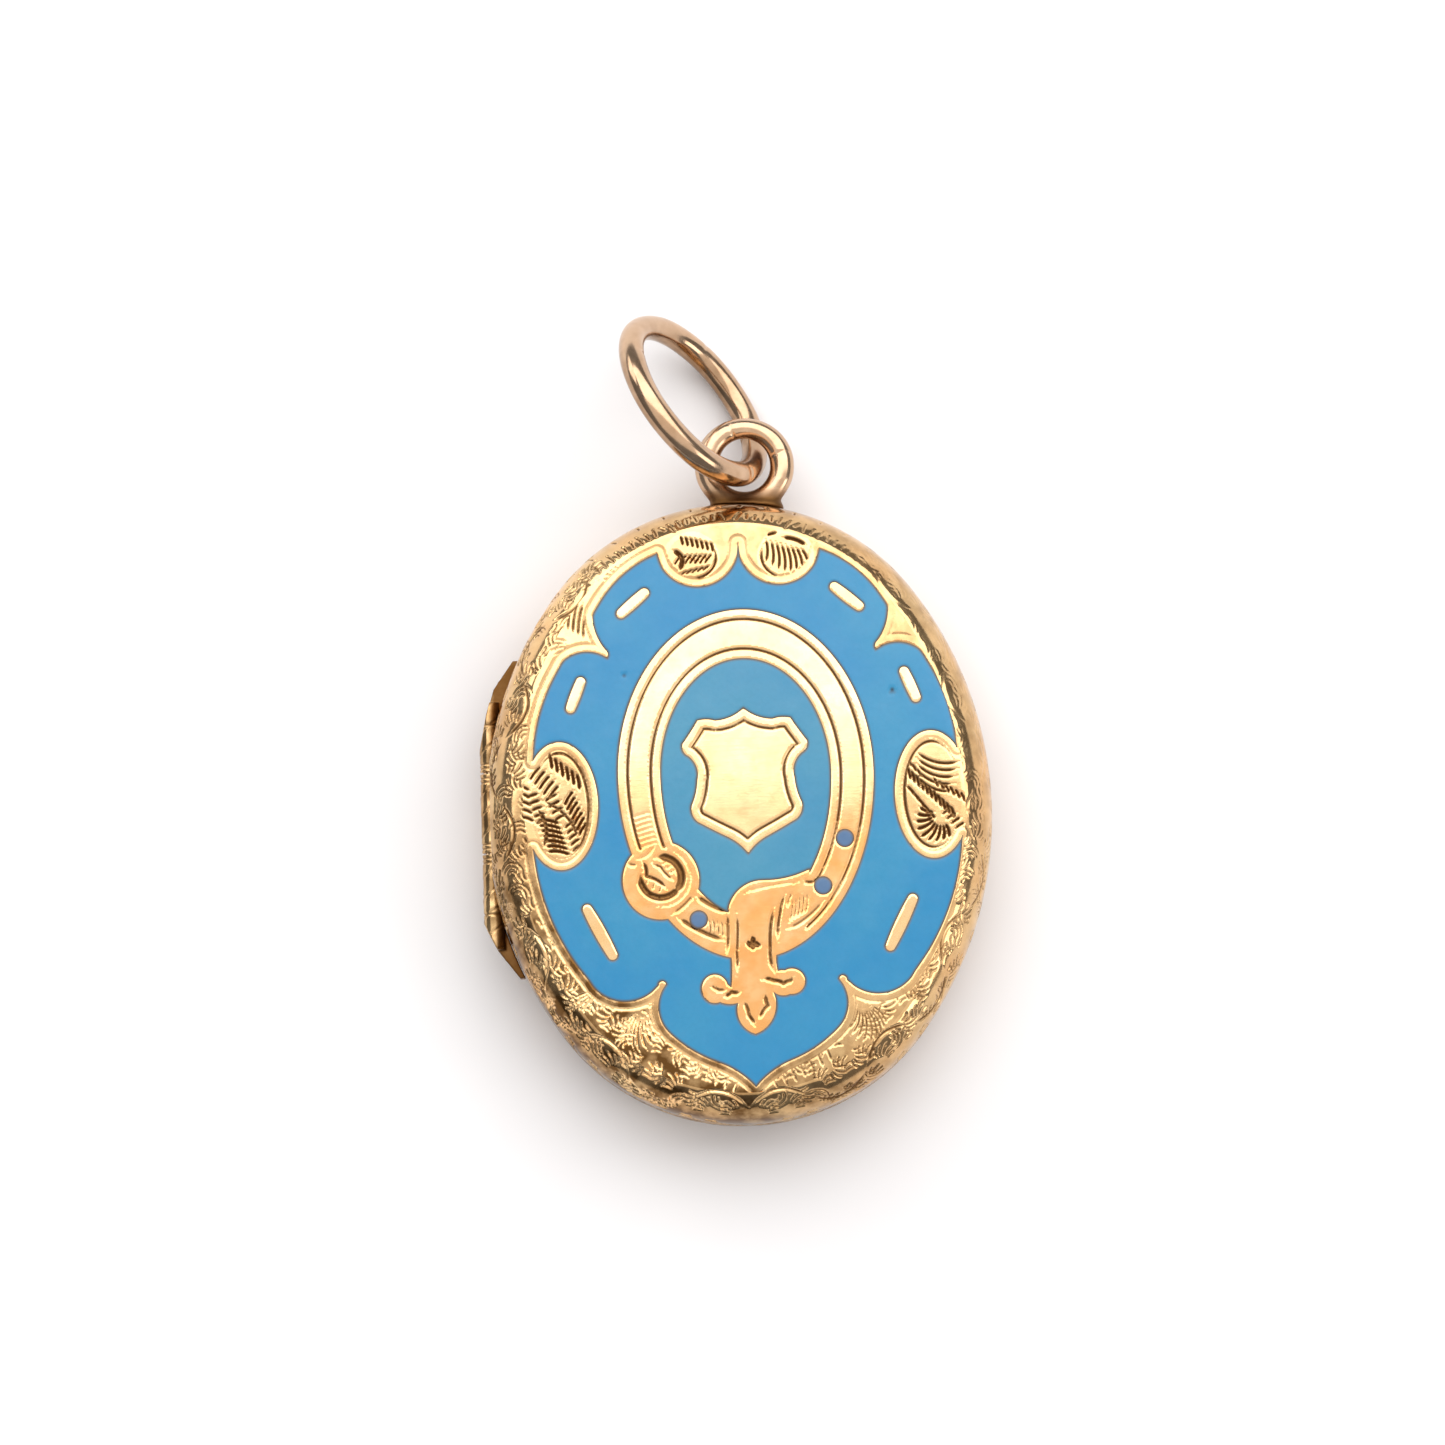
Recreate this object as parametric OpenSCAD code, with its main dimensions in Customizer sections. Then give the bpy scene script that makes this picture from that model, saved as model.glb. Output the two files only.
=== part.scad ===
// Oval hinged locket with an inlaid enamel face, lying on its back.
// Millimetres. +Z points out of the enamelled face and +Y towards the bail.
// The origin is the centre of the flat back.

/* [Case] */
// Width of the oval case, without the hinge
case_w = 20.3; // [19.8:0.1:21]
// Height of the oval case, without the bail
case_h = 25; // [24.4:0.1:25.8]
// Thickness of the closed case
case_t = 5.5; // [5.4:0.1:6.2]
// Thickness of the case's side wall
wall = 0.5; // [0.45:0.05:0.55]
// Thickness of the front and back plates
plate = 0.6; // [0.55:0.05:0.65]
// Radius of the rounded bevel in section
bevel_r = 2.3; // [2.2:0.1:2.4]

/* [Enamel] */
// Depth of the enamel in its cells
enamel_depth = 0.3; // [0.2:0.05:0.35]
// Distance from the case's centre line to the design's centre line
design_shift = 0.3; // [0:0.1:0.3]
// Radius of the enamelled eyelets in the belt
eyelet_r = 0.38; // [0.3:0.02:0.4]

/* [Hinge] */
// Radius of the hinge knuckles
knuckle_r = 0.43; // [0.41:0.01:0.45]
// Radius of the hinge pin
pin_r = 0.25; // [0.2:0.01:0.26]
// Length of the middle knuckle
middle_knuckle_l = 3.2; // [3:0.1:3.4]
// How far the hinge axis lies inside the widest point of the case
hinge_inset = 0.2; // [0.18:0.01:0.22]
// How far the hinge's middle lies above the case's middle
hinge_shift = 0.33; // [0.2:0.01:0.4]

/* [Bail and jump ring] */
// Centre-line radius of the bail ring
bail_r = 1.53; // [1.51:0.01:1.56]
// Radius of the bail's wire
bail_wire_r = 0.49; // [0.45:0.01:0.51]
// Centre-line radius of the jump ring
jump_r = 3.6; // [3.56:0.01:3.64]
// Radius of the jump ring's wire
jump_wire_r = 0.52; // [0.48:0.01:0.53]

/* [Hidden] */
$fn = 180;

gold = [0.83, 0.64, 0.36];
pale_gold = [0.92, 0.78, 0.52];
enamel_blue = [0.27, 0.58, 0.75];
glass_tint = [0.85, 0.9, 0.92];
card_tint = [0.86, 0.82, 0.72];

// Clearance between soldered or nested pieces of one half
seat_gap = 0.02;
// Running clearance between pieces that turn against each other
run_gap = 0.07;
// An inset deeper than any radius of the oval, which closes a section on the axis
core = case_h;
// A cutter's overlap past the faces it cuts
past = 1;

// The oval has four centres on a 3-4-5 triangle, so its arcs share their tangents.
oval_k = (case_h - case_w) / 4;
end_centre_y = 3 * oval_k;
side_centre_x = 4 * oval_k;
end_r = case_h / 2 - end_centre_y;
side_r = case_w / 2 + side_centre_x;

part_z = case_t / 2;
bevel_angle = 60;
bevel_w = bevel_r * (1 - cos(bevel_angle));
girth_z = case_t - bevel_r * sin(bevel_angle);

// The inside of a half: a straight wall, a corner under the bevel and the flat plate
wall_top = girth_z + 0.05;
plate_corner = bevel_w + 0.3;

// Distances inside the rounded case, in from its outline
rim_w = 0.42;
snap_gap = 0.08;
lip_inset = wall + rim_w + snap_gap;
lip_w = 0.4;
lip_h = 0.4;
rim_depth = 0.8;
frame_gap = 0.1;
frame_inset = lip_inset + lip_w + frame_gap;
frame_wall = 0.27;
frame_bezel = 1.2;
bezel_slope = 0.3;
frame_top = 0.2;
glass_inset = frame_inset + frame_wall + seat_gap;
card_t = 0.2;
glass_t = 0.4;

hinge_x = hinge_inset - case_w / 2;
outer_knuckle_y = middle_knuckle_l / 2 + run_gap;
upper_knuckle_end = 4.5;
lower_knuckle_end = 5.5;
upper_pin_end = 2.8;
lower_pin_end = 4.5;
pin_bore_gap = 0.02;
pin_run_gap = 0.03;
leaf_end = 6.7;
leaf_depth = 0.75;
leaf_reach = 5;

// The outer knuckles are filed down to meet the case, as [in from their outside, along the hinge].
upper_filing = [[0, 2.5], [0.33, 4], [0.64, 5.05], [1.45, 6.2]];
lower_filing = [[0, 4.4], [0.2, 4.85], [0.5, 5.45], [1.4, 6.65]];

bail_x = 0.7;
bail_y = case_h / 2 + 1.7;
base_w = 3.1;
base_top_y = case_h / 2 + 0.36;
base_bar_r = 1.05;
base_bar_y = case_h / 2 - 0.3;

// The jump ring hangs in the bail and leans on the table to the upper left.
jump_lean = 59;
jump_rise = 15.5;
jump_turn = 41;
jump_offset = [-1.98, 2.6];
table_gap = 0.02;

// --- Oval sweeps ---

// A section is a list of [inset from the oval's outline, height].
function turned(section, radius) = [for (p = section) [max(0, radius - p.x), p.y]];
function flipped(section) = [for (p = section) [p.x, case_t - p.y]];

// The arcs meet on lines through their centres, which cut the plan into four zones.
zone_corner = [0, end_centre_y] + [4, 3] * case_h / 4;
end_zone = [[0, end_centre_y], zone_corner, [-zone_corner.x, zone_corner.y]];
side_zone = [[0, end_centre_y], [0, -end_centre_y], [zone_corner.x, -zone_corner.y], zone_corner];

module swept_zone(section, centre, radius, zone) {
    intersection() {
        translate(centre)
            rotate_extrude()
            polygon(turned(section, radius));
        translate([0, 0, -case_t])
            linear_extrude(3 * case_t)
            polygon(zone);
    }
}

module oval_sweep(section) {
    swept_zone(section, [0, end_centre_y], end_r, end_zone);
    swept_zone(section, [-side_centre_x, 0], side_r, side_zone);
    mirror([0, 1, 0])
        swept_zone(section, [0, end_centre_y], end_r, end_zone);
    mirror([1, 0, 0])
        swept_zone(section, [-side_centre_x, 0], side_r, side_zone);
}

module oval_plate(inset, low, high) {
    oval_sweep([[inset, low], [core, low], [core, high], [inset, high]]);
}

// --- Case halves, drawn as the front half and flipped for the back ---

shell_section = concat(
    [[wall, part_z], [0, part_z]],
    [for (a = [0:10:bevel_angle]) [bevel_r * (1 - cos(a)), girth_z + bevel_r * sin(a)]],
    [[core, case_t], [core, case_t - plate], [plate_corner, case_t - plate], [wall, wall_top]]);

rim_section = [[wall + seat_gap, part_z], [wall + rim_w, part_z],
    [wall + rim_w, part_z + rim_depth], [wall + seat_gap, part_z + rim_depth]];

// The back half's rim is wider, and its snap lip stands up past the parting line.
lip_section = [[wall + seat_gap, part_z], [wall + seat_gap, part_z - rim_depth],
    [lip_inset + lip_w, part_z - rim_depth], [lip_inset + lip_w, part_z + lip_h],
    [lip_inset, part_z + lip_h], [lip_inset, part_z]];

card_top = case_t - plate - seat_gap;
glass_top = card_top - card_t - seat_gap;
bezel_back = glass_top - glass_t - seat_gap;
frame_section = [[frame_inset, card_top], [frame_inset, part_z + frame_top],
    [frame_inset + frame_wall, part_z + frame_top], [frame_inset + frame_bezel, bezel_back - bezel_slope],
    [frame_inset + frame_bezel, bezel_back], [frame_inset + frame_wall, bezel_back],
    [frame_inset + frame_wall, card_top]];

// --- Hinge ---

module along_hinge(radius, from_y, to_y) {
    translate([hinge_x, hinge_shift + from_y, part_z])
        rotate([-90, 0, 0])
        cylinder(r = radius, h = to_y - from_y);
}

// Room for the knuckles: close under a half's own ones, loose under the other half's.
module hinge_room(middle_gap, outer_gap) {
    along_hinge(knuckle_r + middle_gap, -outer_knuckle_y, outer_knuckle_y);
    along_hinge(knuckle_r + outer_gap, middle_knuckle_l / 2, leaf_end + past);
    along_hinge(knuckle_r + outer_gap, -leaf_end - past, -middle_knuckle_l / 2);
}

// The flat filed on the side of each half, so that it can turn right over.
module hinge_flat() {
    translate([hinge_x + seat_gap - case_w, hinge_shift - leaf_end, -past])
        cube([case_w, 2 * leaf_end, case_t + 2 * past]);
}

// The prism that keeps an outer knuckle inside its filed outline, upwards or downwards.
module filed_outline(filing, upwards) {
    outside = hinge_x - knuckle_r;
    inside = hinge_x + leaf_reach;
    outline = concat([[inside, 0], [outside, 0]], [for (p = filing) [outside + p.x, p.y]],
        [[inside, filing[len(filing) - 1].y]]);
    translate([0, hinge_shift, part_z - leaf_depth])
        linear_extrude(2 * leaf_depth)
        polygon([for (p = outline) [p.x, upwards * p.y]]);
}

// The leaf under an outer knuckle lies between the hinge's axis and the back half's side.
module hinge_leaf(from_y, to_y) {
    difference() {
        translate([hinge_x, hinge_shift + from_y, part_z - leaf_depth])
            cube([leaf_reach, to_y - from_y, leaf_depth - seat_gap]);
        translate([side_centre_x, 0, 0])
            cylinder(r = side_r + seat_gap, h = case_t);
    }
}

// --- Enamel design ---

// The design is laid out for one size of case and stretches with it.
design_w = 20.3;
design_h = 25;
function drawn(p) = [p.x * case_w / design_w + design_shift, p.y * case_h / design_h];
function across(p) = [-p.x, p.y];

function turn_at(p, o) = atan2(p.y - o.y, p.x - o.x);
function ahead(a) = a - 360 * floor(a / 360);
function three_point_det(a, b, c) =
    2 * (a.x * (b.y - c.y) + b.x * (c.y - a.y) + c.x * (a.y - b.y));
function three_point_centre(a, b, c) =
    [(a * a) * (b.y - c.y) + (b * b) * (c.y - a.y) + (c * c) * (a.y - b.y),
     (a * a) * (c.x - b.x) + (b * b) * (a.x - c.x) + (c * c) * (b.x - a.x)]
    / three_point_det(a, b, c);

// Points on the arc from a through b up to, but without, c.
function arc(a, b, c, steps) =
    abs(three_point_det(a, b, c)) < 0.001 ? [a] :
    let (o = three_point_centre(a, b, c), r = norm(a - o), start = turn_at(a, o),
        to_b = ahead(turn_at(b, o) - start), to_c = ahead(turn_at(c, o) - start),
        sweep = to_b < to_c ? to_c : to_c - 360)
    [for (i = [0:steps - 1]) o + r * [cos(start + sweep * i / steps), sin(start + sweep * i / steps)]];

// Every second point of a trace is a middle point of an arc.
function traced(p, steps = 7) =
    [for (i = [0:2:len(p) - 3]) each arc(p[i], p[i + 1], p[i + 2], steps)];
function reversed(p) = [for (i = [len(p) - 1:-1:0]) p[i]];
function both_sides(p) = concat(traced(p), traced(reversed([for (q = p) across(q)])));

module drawn_shape(p) {
    polygon([for (q = p) drawn(q)]);
}

// Right half of the scalloped border, from the top point to the foot.
border_half = [[0, 10.6], [1.95, 8.93], [3.25, 10.3], [4.85, 9.3], [5.9, 7.85], [5.76, 7.05],
    [5.42, 6.46], [5.33, 6.3], [5.36, 6.14], [6.15, 6.42], [7.1, 6.1], [7.95, 4.5], [8.45, 2.1],
    [8.6, 0.2], [8.5, -1.8], [7.85, -4.4], [6.5, -6.7], [5.25, -7.6], [3.72, -7.02], [3.55, -6.85],
    [3.43, -6.97], [3.75, -8.05], [3.3, -8.95], [2.3, -9.72], [1.47, -10.12], [0.7, -10.52], [0, -11.15]];

shield_half = [[0, 3.92], [0.5, 3.6], [1.15, 3.46], [1.5, 3.52], [1.85, 3.48], [2.16, 3],
    [2.48, 2.55], [2.46, 2.3], [2.25, 2.08], [1.97, 1.7], [1.93, 1.1], [2.02, 0.55],
    [2.18, 0.1], [2.13, -0.35], [1.8, -0.65], [1.3, -0.93], [0.75, -1.22], [0.32, -1.52], [0, -1.87]];

// The knotted end of the belt, round from its upper left corner.
strap_end = [[-0.85, -4], [-0.35, -3.27], [0.6, -2.98], [1.5, -2.9], [2.4, -2.6], [2.2, -4],
    [1.15, -5.35], [0.98, -5.9], [1, -6.6], [1.38, -6.6], [1.82, -7.12], [1.46, -7.52],
    [0.8, -7.4], [0.85, -8.2], [0.05, -9.05], [-0.6, -8.4], [-0.6, -7.8], [-1.3, -7.75],
    [-1.8, -7.3], [-1.4, -7], [-0.85, -7.2], [-0.8, -6], [-0.9, -5], [-0.88, -4.5], [-0.85, -4]];

belt_centre_y = 1.3;
belt_half_w = 5.08;
opening_half_w = 3.4;
function egg(half_w, up, down) = [for (a = [0:5:355])
    [half_w * cos(a), belt_centre_y + (a < 180 ? up : down) * sin(a)]];
belt_outline = egg(belt_half_w, 6.6, 7.4);
belt_opening = egg(opening_half_w, 4.65, 5.7);

function round_outline(centre, rx, ry) = [for (a = [0:7.5:352.5]) centre + [rx * cos(a), ry * sin(a)]];
buckle_plate = round_outline([-3.5, -2.85], 1.52, 1.55);
right_curl = round_outline([1.55, -7.02], 0.52, 0.5);
left_curl = round_outline([-1.5, -7.22], 0.52, 0.56);
cartouche = round_outline([7.4, 0.25], 1.5, 2.55);

// A gold bar with round ends from a to b
function bar(a, b, half_w) = let (along = turn_at(b, a))
    concat([for (t = [90:20:270]) a + half_w * [cos(along + t), sin(along + t)]],
        [for (t = [-90:20:90]) b + half_w * [cos(along + t), sin(along + t)]]);
border_bars = [bar([3.8, 8.7], [4.75, 7.9], 0.19), bar([6.45, 5.2], [6.88, 4.15], 0.19),
    bar([6.45, -3.9], [5.5, -5.75], 0.19)];

eyelets = [[3.85, -1.4], [2.92, -3.26], [-2.05, -4.45]];

module belt_details() {
    drawn_shape(buckle_plate);
    drawn_shape(traced(strap_end));
    drawn_shape(right_curl);
    drawn_shape(left_curl);
}

module border_enamel_shape() {
    difference() {
        drawn_shape(both_sides(border_half));
        drawn_shape(belt_outline);
        belt_details();
        for (outline = concat([cartouche], border_bars)) {
            drawn_shape(outline);
            drawn_shape([for (p = outline) across(p)]);
        }
    }
}

module centre_enamel_shape() {
    difference() {
        drawn_shape(belt_opening);
        belt_details();
        drawn_shape(both_sides(shield_half));
    }
}

// --- Back half ---

module back_cover() color(gold)
    difference() {
        oval_sweep(flipped(shell_section));
        hinge_room(run_gap, seat_gap);
        hinge_flat();
    }

module back_rim() color(pale_gold)
    difference() {
        oval_sweep(lip_section);
        hinge_room(run_gap, seat_gap);
    }

module upper_hinge_knuckle() color(gold)
    difference() {
        intersection() {
            union() {
                along_hinge(knuckle_r, outer_knuckle_y, upper_knuckle_end);
                hinge_leaf(outer_knuckle_y, leaf_end);
            }
            filed_outline(upper_filing, 1);
        }
        along_hinge(pin_r + pin_bore_gap, 0, upper_pin_end);
    }

module lower_hinge_knuckle() color(gold)
    difference() {
        intersection() {
            union() {
                along_hinge(knuckle_r, -lower_knuckle_end, -outer_knuckle_y);
                hinge_leaf(-leaf_end, -outer_knuckle_y);
            }
            filed_outline(lower_filing, -1);
        }
        along_hinge(pin_r + pin_bore_gap, -lower_pin_end, 0);
    }

module hinge_pin() color(pale_gold)
    along_hinge(pin_r, seat_gap - lower_pin_end, upper_pin_end - seat_gap);

// The collar is a bar with a flat top for the ring, hollowed to fit the end of the case.
module bail_base() color(gold)
    difference() {
        intersection() {
            translate([bail_x - base_w / 2, base_bar_y, part_z])
                rotate([0, 90, 0])
                cylinder(r = base_bar_r, h = base_w);
            translate([-case_w / 2, 0, 0])
                cube([case_w, base_top_y, case_t]);
        }
        translate([0, end_centre_y, -past])
            cylinder(r = end_r + seat_gap, h = part_z + past);
        translate([0, end_centre_y, part_z - seat_gap])
            cylinder(r = end_r + run_gap, h = case_t);
    }

module bail_ring() color(pale_gold)
    difference() {
        translate([bail_x, bail_y, part_z])
            rotate_extrude()
            translate([bail_r, 0])
            circle(r = bail_wire_r);
        translate([bail_x - case_w / 2, 0, 0])
            cube([case_w, base_top_y + seat_gap, case_t]);
    }

module back_photo_frame() color(pale_gold)
    oval_sweep(flipped(frame_section));

module back_photo_glass() color(glass_tint)
    oval_plate(glass_inset, case_t - glass_top, case_t - glass_top + glass_t);

module back_photo_card() color(card_tint)
    oval_plate(glass_inset, case_t - card_top, case_t - card_top + card_t);

// --- Front half ---

module front_cover() color(gold)
    difference() {
        oval_sweep(shell_section);
        hinge_room(seat_gap, run_gap);
        hinge_flat();
        translate([0, 0, case_t - enamel_depth])
            linear_extrude(enamel_depth + past)
            border_enamel_shape();
        translate([0, 0, case_t - enamel_depth])
            linear_extrude(enamel_depth + past)
            centre_enamel_shape();
        for (p = eyelets)
            translate([drawn(p).x, drawn(p).y, case_t - enamel_depth])
                cylinder(r = eyelet_r, h = enamel_depth + past);
    }

module front_rim() color(pale_gold)
    difference() {
        oval_sweep(rim_section);
        hinge_room(seat_gap, run_gap);
    }

module middle_hinge_knuckle() color(gold)
    difference() {
        along_hinge(knuckle_r, -middle_knuckle_l / 2, middle_knuckle_l / 2);
        along_hinge(pin_r + pin_run_gap, -middle_knuckle_l, middle_knuckle_l);
    }

module enamel_border() color(enamel_blue)
    translate([0, 0, case_t - enamel_depth])
    linear_extrude(enamel_depth)
    border_enamel_shape();

module enamel_centre() color(enamel_blue)
    translate([0, 0, case_t - enamel_depth])
    linear_extrude(enamel_depth)
    centre_enamel_shape();

module enamel_eyelets() color(enamel_blue)
    for (p = eyelets)
        translate([drawn(p).x, drawn(p).y, case_t - enamel_depth])
            cylinder(r = eyelet_r - seat_gap / 2, h = enamel_depth);

module front_photo_frame() color(pale_gold)
    oval_sweep(frame_section);

module front_photo_glass() color(glass_tint)
    oval_plate(glass_inset, glass_top - glass_t, glass_top);

module front_photo_card() color(card_tint)
    oval_plate(glass_inset, card_top - card_t, card_top);

// --- Jump ring ---

// The ring's centre stands just high enough for its lowest side to clear the table.
jump_level = cos(jump_lean) * cos(jump_rise);
jump_z = jump_r * sqrt(1 - jump_level * jump_level) + jump_wire_r + table_gap;

module jump_ring() color(pale_gold)
    translate([bail_x + jump_offset.x, bail_y + jump_offset.y, jump_z])
    rotate([0, 0, jump_turn])
    rotate([jump_rise, 0, 0])
    rotate([0, jump_lean, 0])
    rotate_extrude()
    translate([jump_r, 0])
    circle(r = jump_wire_r);

back_cover();
back_rim();
upper_hinge_knuckle();
lower_hinge_knuckle();
hinge_pin();
bail_base();
bail_ring();
back_photo_frame();
back_photo_glass();
back_photo_card();
front_cover();
front_rim();
middle_hinge_knuckle();
enamel_border();
enamel_centre();
enamel_eyelets();
front_photo_frame();
front_photo_glass();
front_photo_card();
jump_ring();
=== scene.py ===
"""Oval locket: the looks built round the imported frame. Sizes are in millimetres until a mesh is made."""

import math

import bmesh
import bpy
import numpy as np
from mathutils import Matrix, Vector, kdtree
from mathutils.geometry import delaunay_2d_cdt


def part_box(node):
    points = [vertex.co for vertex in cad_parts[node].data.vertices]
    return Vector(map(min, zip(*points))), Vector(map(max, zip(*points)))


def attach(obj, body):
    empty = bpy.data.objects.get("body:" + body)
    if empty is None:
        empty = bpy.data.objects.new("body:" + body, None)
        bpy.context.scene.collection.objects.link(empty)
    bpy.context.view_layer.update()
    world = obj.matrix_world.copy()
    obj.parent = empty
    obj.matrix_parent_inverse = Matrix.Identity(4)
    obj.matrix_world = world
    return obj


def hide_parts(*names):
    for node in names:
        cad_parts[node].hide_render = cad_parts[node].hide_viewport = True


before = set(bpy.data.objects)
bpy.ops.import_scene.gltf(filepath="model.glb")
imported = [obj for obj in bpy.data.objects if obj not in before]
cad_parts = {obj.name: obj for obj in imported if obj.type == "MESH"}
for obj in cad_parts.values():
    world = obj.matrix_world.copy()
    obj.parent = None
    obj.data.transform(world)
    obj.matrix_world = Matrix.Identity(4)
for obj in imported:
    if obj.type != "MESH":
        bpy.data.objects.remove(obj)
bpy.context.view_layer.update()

MM = 0.001
random = np.random.default_rng(7)

# --- Sizes taken from the frame ---


def unit(values):
    """The values held between 0 and 1."""
    return np.clip(values, 0, 1)


def turns(count):
    """Angles at an even spacing round one turn, in radians."""
    return np.arange(count) * 2 * math.pi / count


def node_box(node):
    """Lowest and highest corner of a CAD node, in millimetres."""
    low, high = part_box(node)
    return np.array(low) / MM, np.array(high) / MM


cover_low, cover_high = node_box("front_cover")
half_w, half_h, case_t = cover_high
part_z = cover_low[2]
plate_floor = node_box("enamel_border")[0][2]

# Oval with four centres on a 3-4-5 triangle
oval_k = (half_h - half_w) / 2
end_y = 3 * oval_k
side_x = 4 * oval_k
end_r = half_h - end_y
side_r = half_w + side_x
join_angle = math.degrees(math.atan2(3, 4))

# Section of the case: a straight side, a rounded bevel, then the flat face
bevel_r = 2.3
bevel_sweep = math.radians(60)
bevel_w = bevel_r * (1 - math.cos(bevel_sweep))
girth_z = case_t - bevel_r * math.sin(bevel_sweep)
bevel_run = bevel_r * bevel_sweep
side_run = girth_z - part_z
face_dome = 0.1
crease_blend = 0.12
wall = 0.5
plate = 0.6
under_plate = plate_floor - face_dome - 0.05
under_enamel = under_plate + 0.01

# --- The oval and its unrolled coordinates ---

outline_inset = 0.4
arc_turns = np.array([-90, -join_angle, join_angle, 180 - join_angle, 180 + join_angle, 270.0])
arc_radii = np.array([end_r, side_r, end_r, side_r, end_r]) - outline_inset
arc_ends = np.concatenate([[0], np.cumsum(arc_radii * np.radians(np.diff(arc_turns)))])
girth = arc_ends[-1]
on_end_above = 0.6


def oval_frame(s):
    """Arc centres, arc radii and outward normals at distances s round the case from its foot."""
    turn = np.radians(np.interp(np.mod(s, girth), arc_ends, arc_turns))
    normal = np.stack([np.cos(turn), np.sin(turn)], -1)
    on_end = np.abs(normal[..., 1]) > on_end_above
    centre = np.where(on_end[..., None],
                      np.stack([0 * turn, np.sign(normal[..., 1]) * end_y], -1),
                      np.stack([-np.sign(normal[..., 0]) * side_x, 0 * turn], -1))
    return centre, np.where(on_end, end_r, side_r), normal


def oval_points(s, inset):
    """Points of the plan at distances s round the case and at insets from its outline."""
    inset = np.broadcast_to(inset, s.shape)
    centre, radius, normal = oval_frame(s)
    return centre + (radius - inset)[..., None] * normal


def unrolled(points):
    """Distance round the case and inset of points in the plan."""
    side = np.where(points[:, 1] >= 0, 1, -1)
    from_end = points - np.stack([0 * side, side * end_y], -1)
    far = np.linalg.norm(from_end, axis=1) + 1e-9
    on_end = from_end[:, 1] * side / far > on_end_above
    hand = np.where(points[:, 0] >= 0, 1, -1)
    from_side = points + np.stack([hand * side_x, 0 * hand], -1)
    reach = np.where(on_end[:, None], from_end, from_side)
    distance = np.linalg.norm(reach, axis=1)
    turn = np.degrees(np.arctan2(reach[:, 1], reach[:, 0]))
    turn = np.where(turn < -90, turn + 360, turn)
    inset = np.where(on_end, end_r, side_r) - distance
    return np.interp(turn, arc_turns, arc_ends), inset


def section_at(u):
    """Inset, height and slope of the outer surface at a distance u down from the face's edge."""
    tilt = np.clip(bevel_sweep - u / bevel_r, 0, bevel_sweep)
    inset = bevel_r * (1 - np.cos(tilt))
    height = girth_z + bevel_r * np.sin(tilt) - np.clip(u - bevel_run, 0, None)
    return inset, height, tilt


def face_drop(inset, height, x, y):
    """How far the face falls away: a faint dome and a soft crease at its edge."""
    rise = unit((height - girth_z) / (case_t - girth_z))
    dome = unit((x / (half_w - bevel_w)) ** 2 + (y / (half_h - bevel_w)) ** 2)
    inner = (inset - bevel_w) * math.tan(math.pi / 2 - bevel_sweep)
    gap = np.where(inset > bevel_w, inner, case_t - height)
    crease = np.clip(crease_blend - np.abs(gap), 0, None) ** 2 / (4 * crease_blend)
    return face_dome * dome * rise + crease


def face_level(plan, inset):
    """Height of the uncut face at points of the plan."""
    return case_t - face_drop(inset, np.full(len(plan), case_t), plan[:, 0], plan[:, 1])


# --- Meshes ---


def store(mesh, values):
    """Writes float attributes to a mesh, by name."""
    for key, value in values.items():
        mesh.attributes.new(key, "FLOAT", "POINT").data.foreach_set("value", value.astype(np.float32))


def add_mesh(name, points, faces, values=None, sharp=50):
    """A mesh object from points in millimetres, with float attributes by name."""
    mesh = bpy.data.meshes.new(name)
    mesh.from_pydata((np.asarray(points, float) * MM).tolist(), [], [list(f) for f in faces])
    mesh.validate()
    mesh.shade_smooth()
    mesh.set_sharp_from_angle(angle=math.radians(sharp))
    store(mesh, values or {})
    piece = bpy.data.objects.new(name, mesh)
    bpy.context.scene.collection.objects.link(piece)
    return piece


def outward(piece, weld=0.0):
    """Turns all the faces of a closed piece outwards, and joins corners closer than weld."""
    shell = bmesh.new()
    shell.from_mesh(piece.data)
    if weld:
        bmesh.ops.remove_doubles(shell, verts=shell.verts, dist=weld * MM)
    bmesh.ops.recalc_face_normals(shell, faces=shell.faces)
    shell.to_mesh(piece.data)
    shell.free()
    return piece


def settle(piece, body, material, nodes=()):
    """Gives a piece its body, its finish and the CAD nodes that it stands for."""
    piece.data.materials.clear()
    piece.data.materials.append(material)
    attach(piece, body)
    if nodes:
        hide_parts(*nodes)
    return piece


def apply_modifiers(piece):
    """Bakes the piece's modifiers into its mesh."""
    graph = bpy.context.evaluated_depsgraph_get()
    made = bpy.data.meshes.new_from_object(piece.evaluated_get(graph))
    piece.modifiers.clear()
    piece.data = made
    return piece


def combine(piece, others, how="DIFFERENCE"):
    """Cuts the others from the piece or joins them to it, and removes them."""
    for other in others:
        step = piece.modifiers.new("combine", "BOOLEAN")
        step.operation = how
        step.solver = "MANIFOLD"
        step.object = other
    apply_modifiers(piece)
    for other in others:
        bpy.data.objects.remove(other)
    return piece


def grid_faces(rows, columns, wrap_rows=False, offset=0):
    """Quads of a grid whose columns close on themselves."""
    last = rows if wrap_rows else rows - 1
    r, c = np.meshgrid(np.arange(last), np.arange(columns), indexing="ij")
    r2, c2 = (r + 1) % rows, (c + 1) % columns
    quads = np.stack([r * columns + c, r2 * columns + c, r2 * columns + c2, r * columns + c2], -1)
    return (quads.reshape(-1, 4) + offset).tolist()


def swept_oval(name, section, count=720, sharp=40, lift=None):
    """A closed ring round the oval. Its section is a loop of (inset, height), seen with outside at left."""
    s = np.arange(count) * girth / count
    rows = []
    for inset, height in section:
        rows.append(np.column_stack([oval_points(s, inset), np.full(count, height)]))
    points = np.concatenate(rows)
    if lift is not None:
        points = lift(points, s, len(section))
    return outward(add_mesh(name, points, grid_faces(len(section), count, wrap_rows=True), sharp=sharp))


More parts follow.
